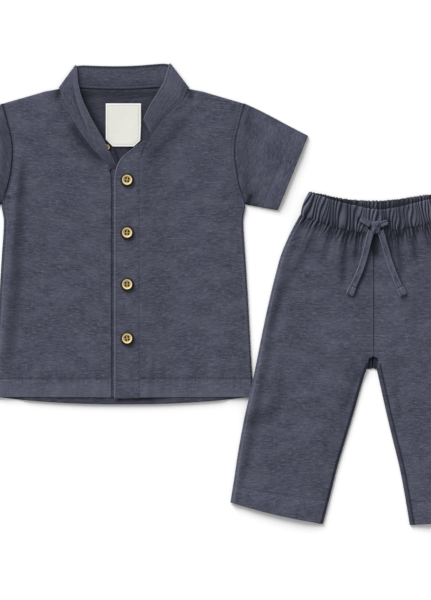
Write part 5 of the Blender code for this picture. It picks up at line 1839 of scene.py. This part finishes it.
def stitch_tree():
    tree = bpy.data.node_groups.new("lay stitches", "GeometryNodeTree")
    face = tree.interface
    face.new_socket("Geometry", in_out="INPUT", socket_type="NodeSocketGeometry")
    for key in ("Pitch", "Length", "Radius"):
        face.new_socket(key, in_out="INPUT", socket_type="NodeSocketFloat")
    face.new_socket("Thread", in_out="INPUT", socket_type="NodeSocketMaterial")
    face.new_socket("Geometry", in_out="OUTPUT", socket_type="NodeSocketGeometry")
    new = tree.nodes.new
    start = new("NodeGroupInput")
    to_curve = new("GeometryNodeMeshToCurve")
    resample = new("GeometryNodeResampleCurve")
    resample.mode = "LENGTH"
    bead = new("GeometryNodeMeshUVSphere")
    for key, value in (("Segments", 6), ("Rings", 4), ("Radius", 1.0)):
        bead.inputs[key].default_value = value
    tangent = new("GeometryNodeInputTangent")
    align = new("FunctionNodeAlignRotationToVector")
    align.axis = "X"
    halve = new("ShaderNodeMath")
    halve.operation = "MULTIPLY"
    halve.inputs[1].default_value = 0.5
    size = new("ShaderNodeCombineXYZ")
    place = new("GeometryNodeInstanceOnPoints")
    real = new("GeometryNodeRealizeInstances")
    paint = new("GeometryNodeSetMaterial")
    end = new("NodeGroupOutput")
    for source, out, target, into in (
            (start, "Geometry", to_curve, "Mesh"),
            (to_curve, "Curve", resample, "Curve"),
            (start, "Pitch", resample, "Length"),
            (resample, "Curve", place, "Points"),
            (bead, "Mesh", place, "Instance"),
            (tangent, "Tangent", align, "Vector"),
            (align, "Rotation", place, "Rotation"),
            (start, "Length", halve, 0),
            (halve, "Value", size, "X"),
            (start, "Radius", size, "Y"),
            (start, "Radius", size, "Z"),
            (size, "Vector", place, "Scale"),
            (place, "Instances", real, "Geometry"),
            (real, "Geometry", paint, "Geometry"),
            (start, "Thread", paint, "Material"),
            (paint, "Geometry", end, "Geometry")):
        tree.links.new(source.outputs[out], target.inputs[into])
    return tree


STITCHES = stitch_tree()
print("stitch tree nodes:", len(STITCHES.nodes))

# %% [markdown]
# The stitched lines become one mesh of edges. The tree turns them into beads, and the result is kept as a
# plain mesh, because an exported model can't hold a live tree. On each button a pink thread lies in two bars
# from hole to hole, a little lower at their ends.

# %% Sew the seams
BAR_PITCH = 0.0006
BAR_STITCH = 0.0011
BAR_RADIUS = 0.00024
BAR_ASIDE = 0.34
BAR_REACH = HOLE_OFFSET * 0.62
BAR_HEIGHT = 1.66
BAR_DIP = 0.12


def sew(name, lines, pitch, length, radius, material):
    """Beads of thread along lines, each an array of points in metres."""
    verts, edges = [], []
    for line in lines:
        start = len(verts)
        verts += [tuple(point) for point in line]
        edges += [(start + i, start + i + 1) for i in range(len(line) - 1)]
    mesh = bpy.data.meshes.new(name + "_lines")
    mesh.from_pydata(verts, edges, [])
    source = bpy.data.objects.new(name + "_lines", mesh)
    bpy.context.scene.collection.objects.link(source)
    modifier = source.modifiers.new("stitches", "NODES")
    modifier.node_group = STITCHES
    ids = {item.name: item.identifier for item in STITCHES.interface.items_tree if item.in_out == "INPUT"}
    for key, value in (("Pitch", pitch), ("Length", length), ("Radius", radius), ("Thread", material)):
        modifier[ids[key]] = value
    graph = bpy.context.evaluated_depsgraph_get()
    result = bpy.data.meshes.new_from_object(source.evaluated_get(graph), depsgraph=graph)
    bpy.data.objects.remove(source, do_unlink=True)
    result.name = name
    result.shade_smooth()
    return add_object(name, result)


def bars(at, turn, size):
    """The two bars of thread on one button."""
    lines = []
    for across in (-BAR_ASIDE, BAR_ASIDE):
        spots = [(across, along * BAR_REACH, BAR_HEIGHT - BAR_DIP * abs(along)) for along in (-1, 0, 1)]
        lines.append([turned_by(spot, turn) * size * MM + at for spot in spots])
    return lines


seam_thread = sew("seam_stitches", stitch_lines, STITCH_PITCH, STITCH_LENGTH, THREAD_RADIUS, THREAD)
button_lines = []
for key, (_, at, turn) in buttons.items():
    button_lines += bars(at, turn, COLLAR_BUTTON_SIZE if key == COLLAR_BUTTON else 1.0)
button_thread = sew("button_stitches", button_lines, BAR_PITCH, BAR_STITCH, BAR_RADIUS, BUTTON_THREAD)
print("seam lines:", len(stitch_lines), "thread faces:", len(seam_thread.data.polygons))

# %% [markdown]
# Last, every piece is hung on the root body, and the solid that it stands for is hidden. Each sheet of cloth
# also prints the size that it was cut to, before it was gathered and laid, and its area.

# %% Say what every piece is
GATHER_FULLNESS = 1.25
SLEEVE_ROUND = (0.219, 0.080)
COLLAR_CUT = (float(collar_length) * MM, 0.025)
COLLAR_SHARE = 0.9
WAIST_CUT = (0.172 * GATHER_FULLNESS, 0.026)
LABEL_CUT = (0.0388, 0.0475)
LABEL_AREA = 0.00178


def declare(obj, nodes, cut=None, area=None):
    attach(obj, "root")
    if nodes:
        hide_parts(*nodes)
    if cut:
        print(obj.name, "cut", [round(c, 3) for c in cut], "area", round(area, 4))


def cut_of(p):
    """Width and length of the rectangle that a panel is cut from."""
    return (float(p.x.max() - p.x.min()) * MM, float(p.y.max() - p.y.min()) * MM)


for obj, p, node, slot, below in (
        (shirt_left, panel_left, "shirt_front_left", "jersey", "shirt_back_cloth"),
        (shirt_right, panel_right, "shirt_front_right", "jersey", "shirt_back_cloth"),
        (back, panel_back, "shirt_back", "jersey_inside", "table"),
        (band_upper, panel_upper, "placket_left", "jersey", "placket_right_cloth"),
        (band_under, panel_under, "placket_right", "jersey", "shirt_back_cloth")):
    declare(obj, [node], cut_of(p), p.area())
for obj, p, node in (
        (sleeve_left, panel_sleeve, "sleeve_left"),
        (sleeve_right, panel_sleeve_right, "sleeve_right")):
    sleeve_area = min(2 * p.area(), SLEEVE_ROUND[0] * SLEEVE_ROUND[1])
    declare(obj, [node], SLEEVE_ROUND, sleeve_area)
collar_area = COLLAR_CUT[0] * COLLAR_CUT[1] * COLLAR_SHARE
declare(collar_cloth, ["collar"], COLLAR_CUT, collar_area)
leg_backs = ["trouser_back_left_cloth", "trouser_back_right_cloth"]
for obj, p, node, slot, below in (
        (leg_front_left, panel_leg_left, "trouser_front_left", "jersey", leg_backs),
        (leg_front_right, panel_leg_right, "trouser_front_right", "jersey", leg_backs),
        (leg_back_left, panel_back_left, "trouser_back_left", "jersey_inside", ["table"]),
        (leg_back_right, panel_back_right, "trouser_back_right", "jersey_inside", ["table"])):
    declare(obj, [node], cut_of(p), p.area())
waist_area = WAIST_CUT[0] * WAIST_CUT[1]
for obj, node, slot in (
        (band_front, "waistband_front", "jersey"),
        (band_back, "waistband_back", "jersey_inside")):
    declare(obj, [node], WAIST_CUT, waist_area)
declare(label_ribbon, ["neck_label"], LABEL_CUT, LABEL_AREA)
declare(knot_cloth, ["drawstring_knot"])
for key, (obj, _, _) in buttons.items():
    declare(obj, [key])
declare(seam_thread, [])
declare(button_thread, [])

# %% [markdown]
# Each of the two tails starts at the knot, has a real length and a turned end that goes with it. The two
# leads are short and tied at both ends. All of them are hung on the root body like the other pieces, and the
# length of each tail is printed.

# %% Cords
for side in ("left", "right"):
    obj, length = tails[side]
    tab, _ = tabs[side]
    lead, _ = leads[side]
    declare(obj, [f"drawstring_{side}"])
    declare(tab, [f"drawstring_tab_{side}"])
    declare(lead, [f"drawstring_lead_{side}"])
    print("drawcord", side, "tail", round(length), "mm")

# %% [markdown]
# The last cell prints how many pieces the dressed set has and how many triangles.

# %% Finish
triangles = sum(len(polygon.vertices) - 2 for obj in made.values() for polygon in obj.data.polygons)
print("pieces:", len(made), "triangles:", triangles)
